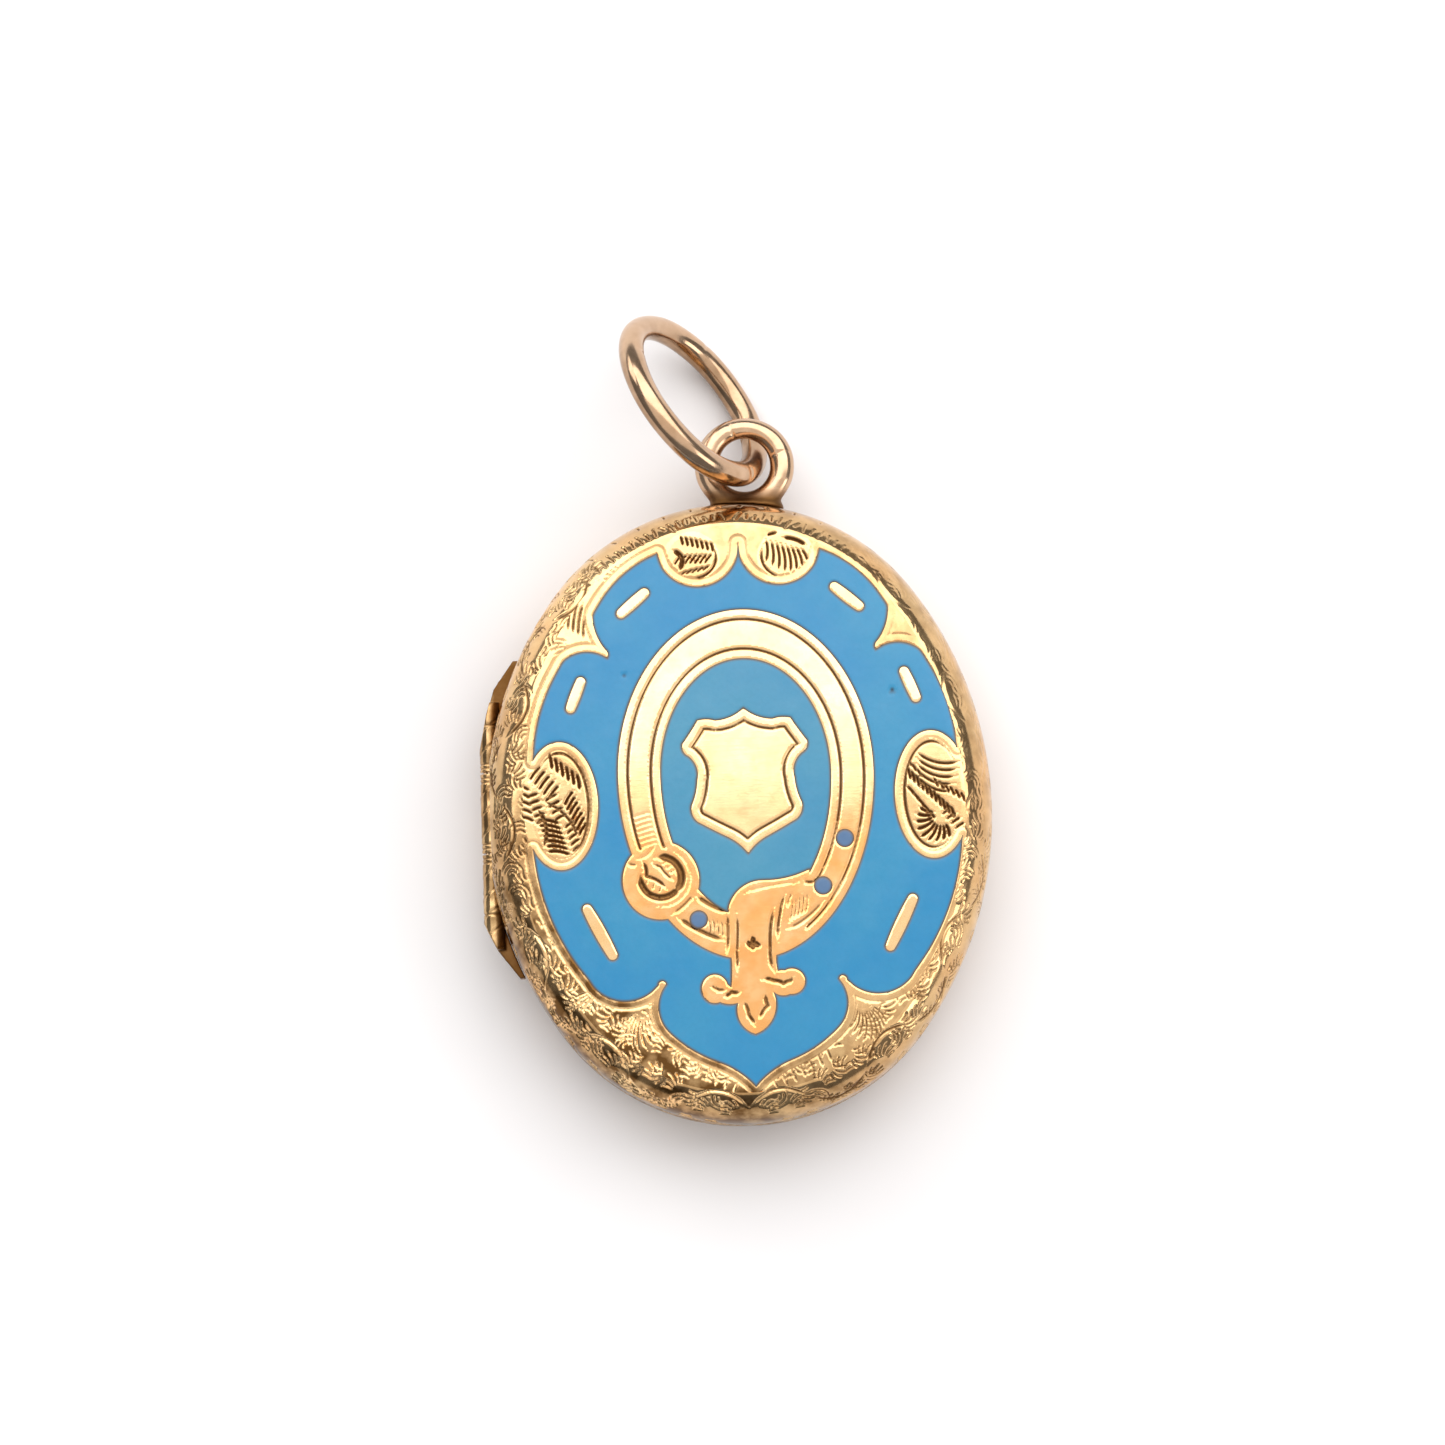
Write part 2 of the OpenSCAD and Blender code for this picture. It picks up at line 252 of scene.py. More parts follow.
def rounded(corners, radius, steps=4):
    """A closed section with its corners rounded."""
    corners = np.array(corners, float)
    out = []
    for before, corner, after in zip(np.roll(corners, 1, 0), corners, np.roll(corners, -1, 0)):
        a, b = before - corner, after - corner
        cut_a = min(radius, np.linalg.norm(a) / 2.1) * a / np.linalg.norm(a)
        cut_b = min(radius, np.linalg.norm(b) / 2.1) * b / np.linalg.norm(b)
        for t in np.linspace(0, 1, steps):
            out.append(corner + cut_a * (1 - t) ** 2 + cut_b * t ** 2)
    return out


def ring_mesh(name, centre, axis_frame, radius, wire, around=240, across=40):
    """A ring of wire. radius and wire are functions of the angle round the ring, in radians."""
    t, p = np.meshgrid(turns(around), turns(across), indexing="ij")
    big, small = radius(t), wire(t, p)
    flat = big + small * np.cos(p)
    local = np.stack([flat * np.cos(t), flat * np.sin(t), small * np.sin(p)], -1).reshape(-1, 3)
    return add_mesh(name, local @ np.array(axis_frame) + centre,
                    grid_faces(around, across, wrap_rows=True), sharp=180)


# --- Outlines of the enamel, from the CAD nodes' top faces ---


def open_edges(rings):
    """Directed edges of a set of faces that no neighbour shares."""
    edges = set()
    for ring in rings:
        for a, b in zip(ring, ring[1:] + ring[:1]):
            if (b, a) in edges:
                edges.remove((b, a))
            elif a != b:
                edges.add((a, b))
    return edges


def top_loops(node):
    """The closed outlines of a flat-topped node, in the plan."""
    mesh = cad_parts[node].data
    co = np.array([v.co for v in mesh.vertices]) / MM
    keys = [tuple(np.round(p, 3)) for p in co]
    top = co[:, 2].max() - 0.001
    after = dict(open_edges([keys[v] for v in face.vertices] for face in mesh.polygons
                            if all(co[v][2] > top for v in face.vertices)))
    loops = []
    while after:
        start = min(after)
        loop, step = [start], after.pop(start)
        while step != start:
            loop.append(step)
            step = after.pop(step)
        loops.append(np.array(loop)[:, :2])
    return loops


def evened(anchor, far, length):
    """The far point, brought to the given length from its anchor if it is much nearer or farther."""
    reach = np.linalg.norm(far - anchor)
    return far if 0.5 * length < reach < 2 * length else anchor + (far - anchor) * length / max(reach, 1e-6)


def smooth_loop(loop, step, corner=38):
    """Resamples an outline with a curve through its points, and keeps its corners."""
    if len(loop) < 30:  # A short loop may be an eyelet's circle
        centre = (loop.max(0) + loop.min(0)) / 2
        reach = np.linalg.norm(loop - centre, axis=1)
        if reach.max() - reach.min() < 0.03 * reach.max():
            t = turns(int(2 * math.pi * reach.mean() / step))
            return centre + reach.mean() * np.column_stack([np.cos(t), np.sin(t)])
    ahead = np.roll(loop, -1, 0) - loop
    behind = loop - np.roll(loop, 1, 0)
    cross = behind[:, 0] * ahead[:, 1] - behind[:, 1] * ahead[:, 0]
    sharp = np.abs(np.degrees(np.arctan2(cross, (behind * ahead).sum(1)))) > corner
    n = len(loop)
    out = []
    for i in range(n):
        p1, p2 = loop[i], loop[(i + 1) % n]
        length = np.linalg.norm(p2 - p1)
        p0 = evened(p1, 2 * p1 - p2 if sharp[i] else loop[i - 1], length)
        p3 = evened(p2, 2 * p2 - p1 if sharp[(i + 1) % n] else loop[(i + 2) % n], length)
        for t in np.arange(0, 1, 1 / max(1, round(length / step))):
            out.append(0.5 * (2 * p1 + (p2 - p0) * t + (2 * p0 - 5 * p1 + 4 * p2 - p3) * t ** 2
                              + (3 * p1 - p0 - 3 * p2 + p3) * t ** 3))
    return np.array(out)


def crossings(points, loops):
    """How many of the loops each point lies inside."""
    order = np.argsort(points[:, 1])
    ys, xs = points[order, 1], points[order, 0]
    inside = np.zeros(len(points), int)
    for loop in loops:
        hits = np.zeros(len(points), bool)
        for a, b in zip(loop, np.roll(loop, -1, 0)):
            low, high = sorted((a[1], b[1]))
            i, j = np.searchsorted(ys, low), np.searchsorted(ys, high)
            if i < j:
                x = a[0] + (ys[i:j] - a[1]) * (b[0] - a[0]) / (b[1] - a[1])
                hits[i:j] ^= x > xs[i:j]
        inside += hits
    out = np.zeros(len(points), int)
    out[order] = inside
    return out


def tree_of(points):
    """A search tree of points in the plan."""
    tree = kdtree.KDTree(len(points))
    for i, p in enumerate(points):
        tree.insert((p[0], p[1], 0), i)
    tree.balance()
    return tree


def nearest(tree, points):
    """Distance from each point to the nearest one in the tree."""
    return np.array([tree.find((p[0], p[1], 0))[2] for p in points])


def offset_rows(loops, distances, tree):
    """Points on lines that follow the loops at the given distances, on both sides."""
    rows = []
    for loop in loops:
        along = np.roll(loop, -1, 0) - np.roll(loop, 1, 0)
        normal = np.column_stack([-along[:, 1], along[:, 0]])
        normal /= np.linalg.norm(normal, axis=1)[:, None] + 1e-9
        for d in distances:
            rows += [loop + d * normal, loop - d * normal]
    rows = np.concatenate(rows)
    wanted = np.concatenate([np.full(2 * len(loop), d) for loop in loops for d in distances])
    return rows[nearest(tree, rows) > wanted - 0.008]


row_step = 0.866  # Height of a triangle with sides of 1


def hex_grid(low, high, pitch):
    """A grid of points in staggered rows."""
    xs = np.arange(low[0], high[0], pitch)
    ys = np.arange(low[1], high[1], pitch * row_step)
    x, y = np.meshgrid(xs, ys)
    x = x + (np.arange(len(ys))[:, None] % 2) * pitch / 2
    return np.column_stack([x.ravel(), y.ravel()])


def triangulated(loops, extra, grid, keep):
    """Triangles of the plan that keep the loops as edges. keep picks them by their middles."""
    fixed = np.concatenate(loops)
    rest = fixed
    for points, gap in [*extra, grid]:
        if len(points) == 0:
            continue
        far = nearest(tree_of(rest), points) > gap
        rest = np.concatenate([rest, points[far]])
    edges = []
    first = 0
    for loop in loops:
        n = len(loop)
        edges += [(first + i, first + (i + 1) % n) for i in range(n)]
        first += n
    points, _, faces, *_ = delaunay_2d_cdt([Vector(p) for p in rest], edges, [], 0, 1e-6)
    points = np.array([tuple(p) for p in points])
    faces = np.array(faces)
    middles = points[faces].mean(1)
    faces = faces[keep(middles)]
    used, compact = np.unique(faces, return_inverse=True)
    return points[used], compact.reshape(-1, 3)


def solid_plate(name, plan, faces, top, bottom, values=None, sharp=50):
    """A closed plate: the triangles on top, a flat underside and walls between."""
    n = len(plan)
    above = np.column_stack([plan, top])
    below = np.column_stack([plan, np.full(n, bottom) if np.isscalar(bottom) else bottom])
    rim = sorted(open_edges(faces.tolist()))
    all_faces = faces.tolist() + (faces[:, ::-1] + n).tolist()
    all_faces += [[b, a, a + n, b + n] for a, b in rim]
    values = {k: np.concatenate([v, v]) for k, v in (values or {}).items()}
    return add_mesh(name, np.concatenate([above, below]), all_faces, values, sharp)


# --- The engraver's strokes: (path, half width, depth) ---

FINE = 0.045
CUT = 0.065


def point(x, y):
    """A place in the plan."""
    return np.array([x, y], float)


def bow(a, b, bulge, steps=12):
    """A curve from a to b that bulges to its left by the given share of its length."""
    a, b = np.array(a, float), np.array(b, float)
    side = np.array([a[1] - b[1], b[0] - a[0]])
    t = np.linspace(0, 1, steps)[:, None]
    middle = (a + b) / 2 + 2 * bulge * side
    return (1 - t) ** 2 * a + 2 * t * (1 - t) * middle + t ** 2 * b


def arc_path(centre, radius, start, end, steps=24):
    """Points on an arc between two angles in degrees."""
    t = np.radians(np.linspace(start, end, steps))
    return np.array(centre) + np.column_stack([radius * np.cos(t), radius * np.sin(t)])


def fan(centre, near, far, start, end, count, half=CUT, depth=0.05, bulge=0.05):
    """Strokes that spread from a centre, longest in the middle."""
    strokes = []
    for t in np.linspace(0, 1, count):
        a = math.radians(start + (end - start) * t)
        way = np.array([math.cos(a), math.sin(a)])
        reach = far - (far - near) * 0.35 * abs(2 * t - 1)
        strokes.append((bow(centre + near * way, centre + reach * way, bulge, 8), half, depth))
    return strokes


def hatch(start, end, across, count, half=FINE, depth=0.03, bulge=0.05):
    """Parallel strokes set out from start to end, each drawn along the across vector."""
    start, end, across = (np.array(v, float) for v in (start, end, across))
    strokes = []
    for t in np.linspace(0, 1, count):
        p = start + (end - start) * t
        strokes.append((bow(p - across / 2, p + across / 2, bulge, 8), half, depth))
    return strokes


def walked(path, pitch):
    """Points along a path at an even pitch, with their place from 0 to 1."""
    legs = np.linalg.norm(np.diff(path, axis=0), axis=1)
    run = np.concatenate([[0], np.cumsum(legs)])
    t = np.linspace(0, run[-1], max(2, int(run[-1] / pitch) + 1))
    return np.column_stack([np.interp(t, run, path[:, 0]), np.interp(t, run, path[:, 1])]), t / run[-1]


def carve(points, strokes, period=None):
    """Depth of the cuts at each point. A stroke starts and ends thin, as a graver leaves it."""
    tree = tree_of(points)
    depth_at = [0.0] * len(points)
    for path, half, depth in strokes:
        places, t = walked(np.asarray(path), 0.03)
        swell = np.clip(6 * t, 0.25, 1) * np.clip(5 * (1 - t), 0.2, 1)
        for p, w in zip(places.tolist(), (half * swell).tolist()):
            deep = depth * w / half
            x = p[0] % period if period else p[0]
            for _, i, gap in tree.find_range((x, p[1], 0), w):
                here = deep * (1 - gap / w)
                if here > depth_at[i]:
                    depth_at[i] = here
    return np.array(depth_at)


# --- Engraving on the face, in the design's own frame ---

design_x = 0.3


def lines(*rows):
    """Strokes from rows of places, then the bend of each leg, the half width and the depth."""
    return [(along(*places, bend=bend), half, depth) for *places, bend, half, depth in rows]


def hatches(*rows):
    """Patches of parallel strokes from rows of what hatch takes."""
    return [stroke for row in rows for stroke in hatch(*row)]


def placed(strokes, x, y, hand=1):
    """The strokes moved by x and y, after they are mirrored where hand is -1."""
    return [(np.asarray(p) * [hand, 1] + [x, y], w, d) for p, w, d in strokes]


def both(strokes, centre=0):
    """The strokes and their mirror images about a line up the given centre."""
    return strokes + placed(strokes, 2 * centre, 0, -1)


def along(*places, bend=0.0):
    """A stroke through several places."""
    legs = [bow(p, q, bend) for p, q in zip(places, places[1:])]
    return np.concatenate(legs)


def belt_strokes():
    """The lines that draw the belt's buckle and its knot."""
    # Edge lines of the short end between the buckle and the knot
    strokes = lines(
        ((-2.1, -3.5), (-0.84, -4.17), -0.06, 0.14, 0.08),
        ((-2.9, -4.3), (-0.97, -5.32), -0.05, 0.13, 0.08),
        ((-2.25, -3.45), (-3.1, -4.2), 0.05, 0.1, 0.06))
    # Shading beside the knot, and above the buckle
    strokes += hatches(
        ((-1.65, -4.75), (-1.0, -4.9), (0.03, -0.8), 5, 0.06, 0.045),
        ((1.6, -4.2), (2.2, -3.95), (-0.14, -0.95), 5, 0.06, 0.045),
        ((-4.25, -0.25), (-3.98, -1.45), (0.68, 0.2), 7, 0.05, 0.035))
    # Lower edge of the belt beside the knot, and the top of the knot
    strokes += lines(
        ((1.42, -4.92), (2.0, -4.66), (2.95, -3.8), -0.04, 0.1, 0.06),
        ((-0.2, -3.45), (0.69, -3.22), (1.95, -3.08), 0.02, 0.06, 0.04))
    # Buckle: a deep ring, the bright prong across it and shading behind
    middle = (-3.5, -2.72)
    strokes += [(arc_path(middle, 0.81, 105, -60, 40), 0.2, 0.13),
                (arc_path(middle, 0.81, -20, -200, 40), 0.17, 0.12),
                (arc_path(middle, 1.16, 60, -100), 0.05, 0.03)]
    strokes += lines(
        ((-4.24, -1.98), (-4.08, -2.66), (-3.25, -3.22), 0.1, 0.1, 0.08),
        ((-3.82, -2.12), (-3.5, -2.3), (-2.98, -2.86), -0.06, 0.08, 0.06),
        ((-4.75, -2.15), (-4.5, -2.2), 0, 0.1, 0.06),
        ((-3.75, -1.45), (-4.4, -1.95), 0.15, 0.07, 0.04))
    strokes += hatches(
        ((-3.32, -2.14), (-3.02, -2.5), (0.24, 0.16), 3, 0.045, 0.045),
        ((-4.08, -2.95), (-3.55, -3.22), (0.1, 0.28), 3, 0.045, 0.045))
    # Knot: double edge lines, a diamond punch, curls and the pointed tip
    strokes += lines(
        ((-0.93, -4.2), (-1.0, -5.9), 0.03, 0.08, 0.06),
        ((-0.54, -4.2), (-0.6, -5.8), (-0.62, -6.7), 0.02, 0.08, 0.06),
        ((0.95, -4.0), (0.73, -5.6), (0.78, -6.4), (1.0, -6.76), -0.04, 0.1, 0.07),
        ((1.4, -3.5), (1.16, -4.3), (1.06, -5.4), -0.04, 0.09, 0.065),
        ((1.66, -3.5), (1.48, -4.05), -0.05, 0.07, 0.05),
        ((-0.14, -5.42), (0.0, -5.58), 0, 0.13, 0.12),
        ((0.0, -5.434), (0.14, -5.566), 0, 0.13, 0.12),
        ((0.14, -5.448), (0.28, -5.552), 0, 0.13, 0.12),
        ((0.06, -5.2), (0.06, -5.72), 0, 0.13, 0.12),
        ((0.35, -6.9), (0.84, -6.97), (1.22, -7.1), (1.5, -7.0), (1.62, -6.75), 0.1, 0.11, 0.08),
        ((-1.66, -7.12), (-1.35, -7.28), (-1.05, -7.3), 0.06, 0.09, 0.065),
        ((-1.15, -7.52), (-0.85, -7.36), (-0.5, -7.36), -0.1, 0.11, 0.08),
        ((-0.38, -7.72), (-0.2, -8.3), (0.04, -8.74), 0.05, 0.1, 0.075),
        ((0.52, -7.43), (0.56, -7.94), (0.22, -8.5), -0.1, 0.11, 0.08))
    return strokes


def contour(rx, ry, start, end, half=0.07, depth=0.05):
    """Part of an oval line about a panel's centre."""
    t = np.radians(np.linspace(start, end, 60))
    return [(np.column_stack([rx * np.cos(t), ry * np.sin(t)]), half, depth)]


def left_cartouche_strokes():
    """Foliage round a bright winding leaf."""
    strokes = contour(1.12, 2.12, -100, 150)
    strokes += hatches(
        ((-0.95, 1.35), (-0.25, 0.55), (0.5, 0.62), 5, 0.07, 0.065),
        ((-0.35, 1.8), (0.72, 0.95), (0.12, -0.72), 6, 0.07, 0.07),
        ((-0.35, 0.35), (0.0, -0.45), (0.55, 0.3), 4, 0.065, 0.06),
        ((-1.1, 0.45), (-0.75, -0.6), (0.5, 0.16), 5, 0.065, 0.06),
        ((0.35, 0.3), (0.88, -0.95), (0.4, 0.62), 7, 0.068, 0.07),
        ((0.35, -0.75), (0.62, -1.7), (0.42, 0.3), 5, 0.065, 0.06),
        ((-0.5, -0.65), (-0.1, -1.9), (0.98, -0.18), 7, 0.068, 0.07, 0.1),
        ((-1.5, 0.75), (-1.35, -0.5), (0.62, -0.22), 5, 0.065, 0.06, 0.12))
    return strokes + lines(
        ((-0.75, 0.25), (0.7, -1.5), 0.14, 0.06, 0.05),
        ((-0.95, -0.05), (-0.75, -1.7), 0.16, 0.08, 0.07))


def right_cartouche_strokes():
    """A long leaf over a fan."""
    strokes = contour(1.12, 2.12, 40, 320)
    for k in range(5):
        strokes += lines(((-0.6, 1.72 - 0.24 * k), (1.2 - 0.1 * k, 1.3 - 0.3 * k), -0.14, 0.06, 0.055))
    strokes += hatches(
        ((-0.92, 0.85), (0.75, -0.75), (0.16, -0.55), 11, 0.07, 0.07),
        ((0.15, 0.45), (1.2, -0.15), (0.2, -0.42), 6, 0.062, 0.06),
        ((-0.85, 0.15), (-0.1, -0.8), (0.34, -0.42), 5, 0.065, 0.06),
        ((-0.9, 1.3), (-0.5, 0.85), (0.2, -0.35), 3, 0.06, 0.055),
        ((0.55, -0.7), (1.2, -1.5), (0.42, 0.26), 5, 0.065, 0.06))
    return strokes + fan(point(0.35, -0.85), 0.35, 1.3, 158, 285, 9, 0.07, 0.07, 0.1)


def right_lobe_strokes():
    """A row of strokes that spread to the lobe's edge."""
    strokes = contour(0.98, 0.9, 150, 330, 0.055, 0.05)
    for t in np.linspace(0, 1, 8):
        top = (-0.78 + 1.4 * t, 0.66 - 0.42 * t)
        foot = (-0.82 + 1.7 * t, -0.02 - 0.75 * math.sin(math.pi * (0.12 + 0.72 * t)))
        strokes += lines((top, foot, 0.08, 0.05, 0.055))
    return strokes + lines(
        ((-0.1, 0.72), (0.85, 0.35), 0.1, 0.08, 0.07),
        ((-0.75, 0.85), (-0.3, 0.95), 0, 0.07, 0.06))


def left_lobe_strokes():
    """A curled leaf with strokes above it."""
    strokes = contour(1.0, 0.85, 170, 400, 0.06, 0.055)
    strokes += lines(((-0.72, 0.35), (-0.5, -0.5), 0.3, 0.1, 0.08))
    return strokes + hatches(
        ((-0.35, 0.72), (0.85, 0.42), (0.1, -0.42), 7, 0.055, 0.06),
        ((-0.5, -0.05), (0.7, -0.05), (0.32, 0.4), 7, 0.055, 0.06),
        ((-0.3, -0.6), (0.6, -0.42), (0.3, 0.2), 5, 0.05, 0.05))


def cusp_strokes():
    """Strokes behind the points where the scallops meet, on the right-hand side."""
    strokes = []
    for k in range(5):
        top, foot = (6.85 - 0.2 * k, 8.75 - 0.12 * k), (7.1 - 0.2 * k, 7.3 - 0.12 * k)
        strokes += lines((top, foot, 0.05, 0.085, 0.08))
    for x, y, *spread in ((6.5, 6.75, 0.5, 1.35, -25, 12, 4, 0.06, 0.05),
                          (4.5, 8.9, 0.6, 1.3, 25, 75, 5, 0.06, 0.05),
                          (4.35, -7.7, 0.5, 2.0, -118, -52, 9, 0.075, 0.065, 0.12),
                          (6.2, -7.1, 0.3, 1.3, -75, -20, 5, 0.07, 0.06)):
        strokes += fan(point(x, y), *spread)
    return strokes + hatches(
        ((7.75, 7.05), (7.1, 6.45), (0.3, -0.4), 4, 0.065, 0.055),
        ((0.8, -11.15), (2.9, -9.95), (0.22, -0.55), 7, 0.075, 0.06),
        ((7.9, 4.0), (8.5, 2.9), (0.36, 0.3), 4, 0.06, 0.05),
        ((7.9, -3.2), (7.2, -5.0), (0.36, -0.34), 6, 0.06, 0.05))


# --- Engraving round the band, unrolled: distance from the foot, and distance down from the face's edge ---

band_foot = bevel_run + side_run
stem_wave = 5.1  # Length of one wave of the stem
top_from = 0.82  # Share of the half girth where the foliage ends and the plain top begins
rope_top, rope_foot = 2.5, 3.05  # Heights of the rope of short cuts beside the parting line


def shell(centre, radius, start, end, count, half=0.08, depth=0.08):
    """Concentric curved cuts, as on a scallop."""
    return [(arc_path(centre, radius * (k + 1) / count, start, end, 14), half, depth) for k in range(count)]


def band_strokes():
    """Foliage that climbs each side along a winding stem, over a rope of short cuts."""
    strokes = []
    side = girth / 2
    foliage_end = side * top_from
    for row, u in enumerate((-1.7, -1.0, -0.3, 0.4, 1.1, 1.8)):
        for s in np.arange(0.3 + 0.5 * (row % 2), foliage_end, 1.04):
            jitter = random.uniform(-1, 1, 4)
            hand = 1 if (row + int(s / stem_wave * 2)) % 2 else -1
            heading = hand * (28 + 14 * jitter[0])
            place = point(s + 0.14 * jitter[1], u + 0.08 * jitter[2])
            if jitter[3] > 0.55:
                strokes += shell(place + [0.4, 0], 0.55, heading - 80, heading + 100, 3, 0.06, 0.075)
            else:
                strokes += fan(place, 0.42, 1.16, heading - 34, heading + 34, 5, 0.062, 0.08, 0.16 * hand)
    for k in range(int(side / stem_wave * 2)):
        hand = 1 if k % 2 else -1
        a, b = k * stem_wave / 2, (k + 1) * stem_wave / 2
        if b < foliage_end:
            strokes.append((bow((a, 0.75), (b, 0.75), 0.3 * hand, 24), 0.1, 0.09))
    for u, gap, tall in ((0.5, 0.36, 0.55), (1.4, 1.1, 0.4)):
        for s in np.arange(foliage_end + 0.2 * u, side, gap):
            lean, length, shift = random.uniform(-1, 1, 3)
            half = tall * (0.5 + 0.2 * length)
            middle, tilt = u + 0.08 * shift, 0.06 + 0.08 * lean
            strokes.append((bow((s - tilt, middle + half), (s + tilt, middle - half), 0.04, 6), 0.075, 0.08))
    for s in np.arange(0.1, side, 0.27):
        slant = 0.36 + 0.08 * math.sin(5 * s)
        strokes.append((bow((s, rope_foot), (s + slant, rope_top), 0.1, 6), 0.085, 0.08))
    return both(strokes, side)


bright_from = 0.6  # Level of tarnishing and painted shade above which the cuts stand out bright

# Places round the case from the foot (0) by the right side (0.25), the top (0.5) and the hinge (0.75)
places_round = [0, 0.1, 0.2, 0.28, 0.42, 0.47, 0.55, 0.62, 0.75, 0.88, 1]
engraving_left = [1, 0.85, 0.6, 0.25, 0.2, 0.75, 0.9, 0.8, 1, 1, 1]
# Darkness round the case: tarnishing, and painted shade that darkens the foot and most of all the lower left
tarnish_there = [0.86, 0.34, 0.32, 0.44, 0.42, 0.5, 0.26, 0, 0.5, 1.15, 0.86]


def wear_at(s):
    """How much of the engraving is left: the upper right is rubbed nearly smooth."""
    return np.interp(np.mod(s, girth) / girth, places_round, engraving_left)


def tarnish_at(s):
    """How dark the gold is round the case: tarnishing, with painted shade strongest at the lower left and the
    foot.
    """
    return np.interp(np.mod(s, girth) / girth, places_round, tarnish_there)


def aged(cut, tarnish, s):
    """Dirt, and tarnishing with painted shade, for cuts of these depths. Where the gold is darkest, the cuts
    are rubbed bright.
    """
    depth = cut / cut_full
    bright = unit((tarnish_at(s) - bright_from) / 0.3)
    walls = 0.75 * unit(1 - np.abs(depth - 0.5) / 0.35)
    rubbed = unit(depth / 0.35)
    return depth * (1 - 0.8 * bright), unit(tarnish * (1 - np.maximum(walls, rubbed * bright)))


# --- Finishes ---


def new_material(name):
    """A material with one principled shader."""
    material = bpy.data.materials.new(name)
    material.use_nodes = True
    tree = material.node_tree
    tree.nodes.clear()
    out = tree.nodes.new("ShaderNodeOutputMaterial")
    shader = tree.nodes.new("ShaderNodeBsdfPrincipled")
    tree.links.new(shader.outputs[0], out.inputs[0])
    return material, tree, shader


def node(tree, kind, inputs=None, **settings):
    """A shader node. Its inputs take values or the sockets that feed them."""
    made = tree.nodes.new(kind)
    for key, value in settings.items():
        setattr(made, key, value)
    for key, value in (inputs or {}).items():
        if isinstance(value, bpy.types.NodeSocket):
            tree.links.new(value, made.inputs[key])
        else:
            made.inputs[key].default_value = value
    return made


def noise(tree, scale, detail=3.0, stretch=(1, 1, 1), rough=0.55):
    """Noise in object space. scale is in features per millimetre."""
    where = node(tree, "ShaderNodeTexCoord")
    in_mm = node(tree, "ShaderNodeMapping", {"Vector": where.outputs["Object"]})
    in_mm.inputs["Scale"].default_value = [v / MM for v in stretch]
    made = node(tree, "ShaderNodeTexNoise", {"Vector": in_mm.outputs[0], "Scale": scale,
                                             "Detail": detail, "Roughness": rough})
    return made.outputs["Fac"]


def remap(tree, value, low, high, to_low, to_high):
    """The value with one range stretched onto another, and held to it."""
    made = node(tree, "ShaderNodeMapRange", {"Value": value, "From Min": low, "From Max": high,
                                             "To Min": to_low, "To Max": to_high})
    return made.outputs[0]


def mix(tree, factor, a, b):
    """A blend of two colours."""
    return node(tree, "ShaderNodeMix", {0: factor, 6: a, 7: b}, data_type="RGBA").outputs[2]


def colour(r, g, b):
    """An opaque colour."""
    return (r, g, b, 1)


def cloud(tree, scale, detail=3, low=0.35, high=0.65):
    """Soft patches from 0 to 1."""
    return remap(tree, noise(tree, scale, detail), low, high, 0, 1)


def attribute(tree, name):
    """A value painted on the mesh."""
    return node(tree, "ShaderNodeAttribute", attribute_name=name).outputs["Fac"]


def combined(tree, a, b, how="ADD"):
    """Two values added, or joined in another way."""
    return node(tree, "ShaderNodeMath", {0: a, 1: b}, operation=how).outputs[0]


bump_height = 0.0001


def dress(tree, shader, base, roughness, height=None, strength=0.0):
    """Gives the shader its colour, its roughness and a fine bump."""
    tree.links.new(base, shader.inputs["Base Color"])
    tree.links.new(roughness, shader.inputs["Roughness"])
    if height is not None:
        bump = node(tree, "ShaderNodeBump", {"Height": height, "Strength": strength, "Distance": bump_height})
        tree.links.new(bump.outputs[0], shader.inputs["Normal"])


def gold(name, pale, deep, rough, scratch=0.01, grime_and_shade=(0.15, 0.068, 0.02), tarnish_and_shade_colour=(0.145, 0.07, 0.021)):
    """Old gold: the alloy's colour drifts, scratches catch the light and cuts hold dirt. Darker patches are
    tarnishing mixed with painted shade, and on the knuckles and bail the cut darkening is painted shade too.
    """
    material, tree, shader = new_material(name)
    base = mix(tree, cloud(tree, 0.35), colour(*pale), colour(*deep))
    blotch = remap(tree, noise(tree, 2.2, 4), 0.45, 0.75, 0, 0.3)
    base = mix(tree, blotch, base, colour(deep[0] * 0.8, deep[1] * 0.72, deep[2] * 0.6))
    uneven = remap(tree, noise(tree, 1.1, 4), 0.35, 0.65, 0.55, 1.25)
    # Darkening from the mesh's values: tarnishing mixed with painted shade
    base = mix(tree, combined(tree, attribute(tree, "tarnish"), uneven, "MULTIPLY"), base, colour(*tarnish_and_shade_colour))
    cuts = attribute(tree, "cut")
    # Dirt held in cuts; on the knuckles and bail this also carries painted shade
    base = mix(tree, remap(tree, cuts, 0.3, 1.15, 0, 0.93), base, colour(*grime_and_shade))
    smear = remap(tree, noise(tree, 1.2, 4), 0.3, 0.7, rough * 0.75, rough * 1.35)
    rougher = combined(tree, smear, remap(tree, cuts, 0.1, 0.8, 0, 0.3))
    scratches = combined(tree, noise(tree, 9, 3, (1, 0.12, 1), 0.7), noise(tree, 7, 3, (0.15, 1, 1), 0.7))
    dress(tree, shader, base, rougher, scratches, scratch)
    shader.inputs["Metallic"].default_value = 1.0
    return material


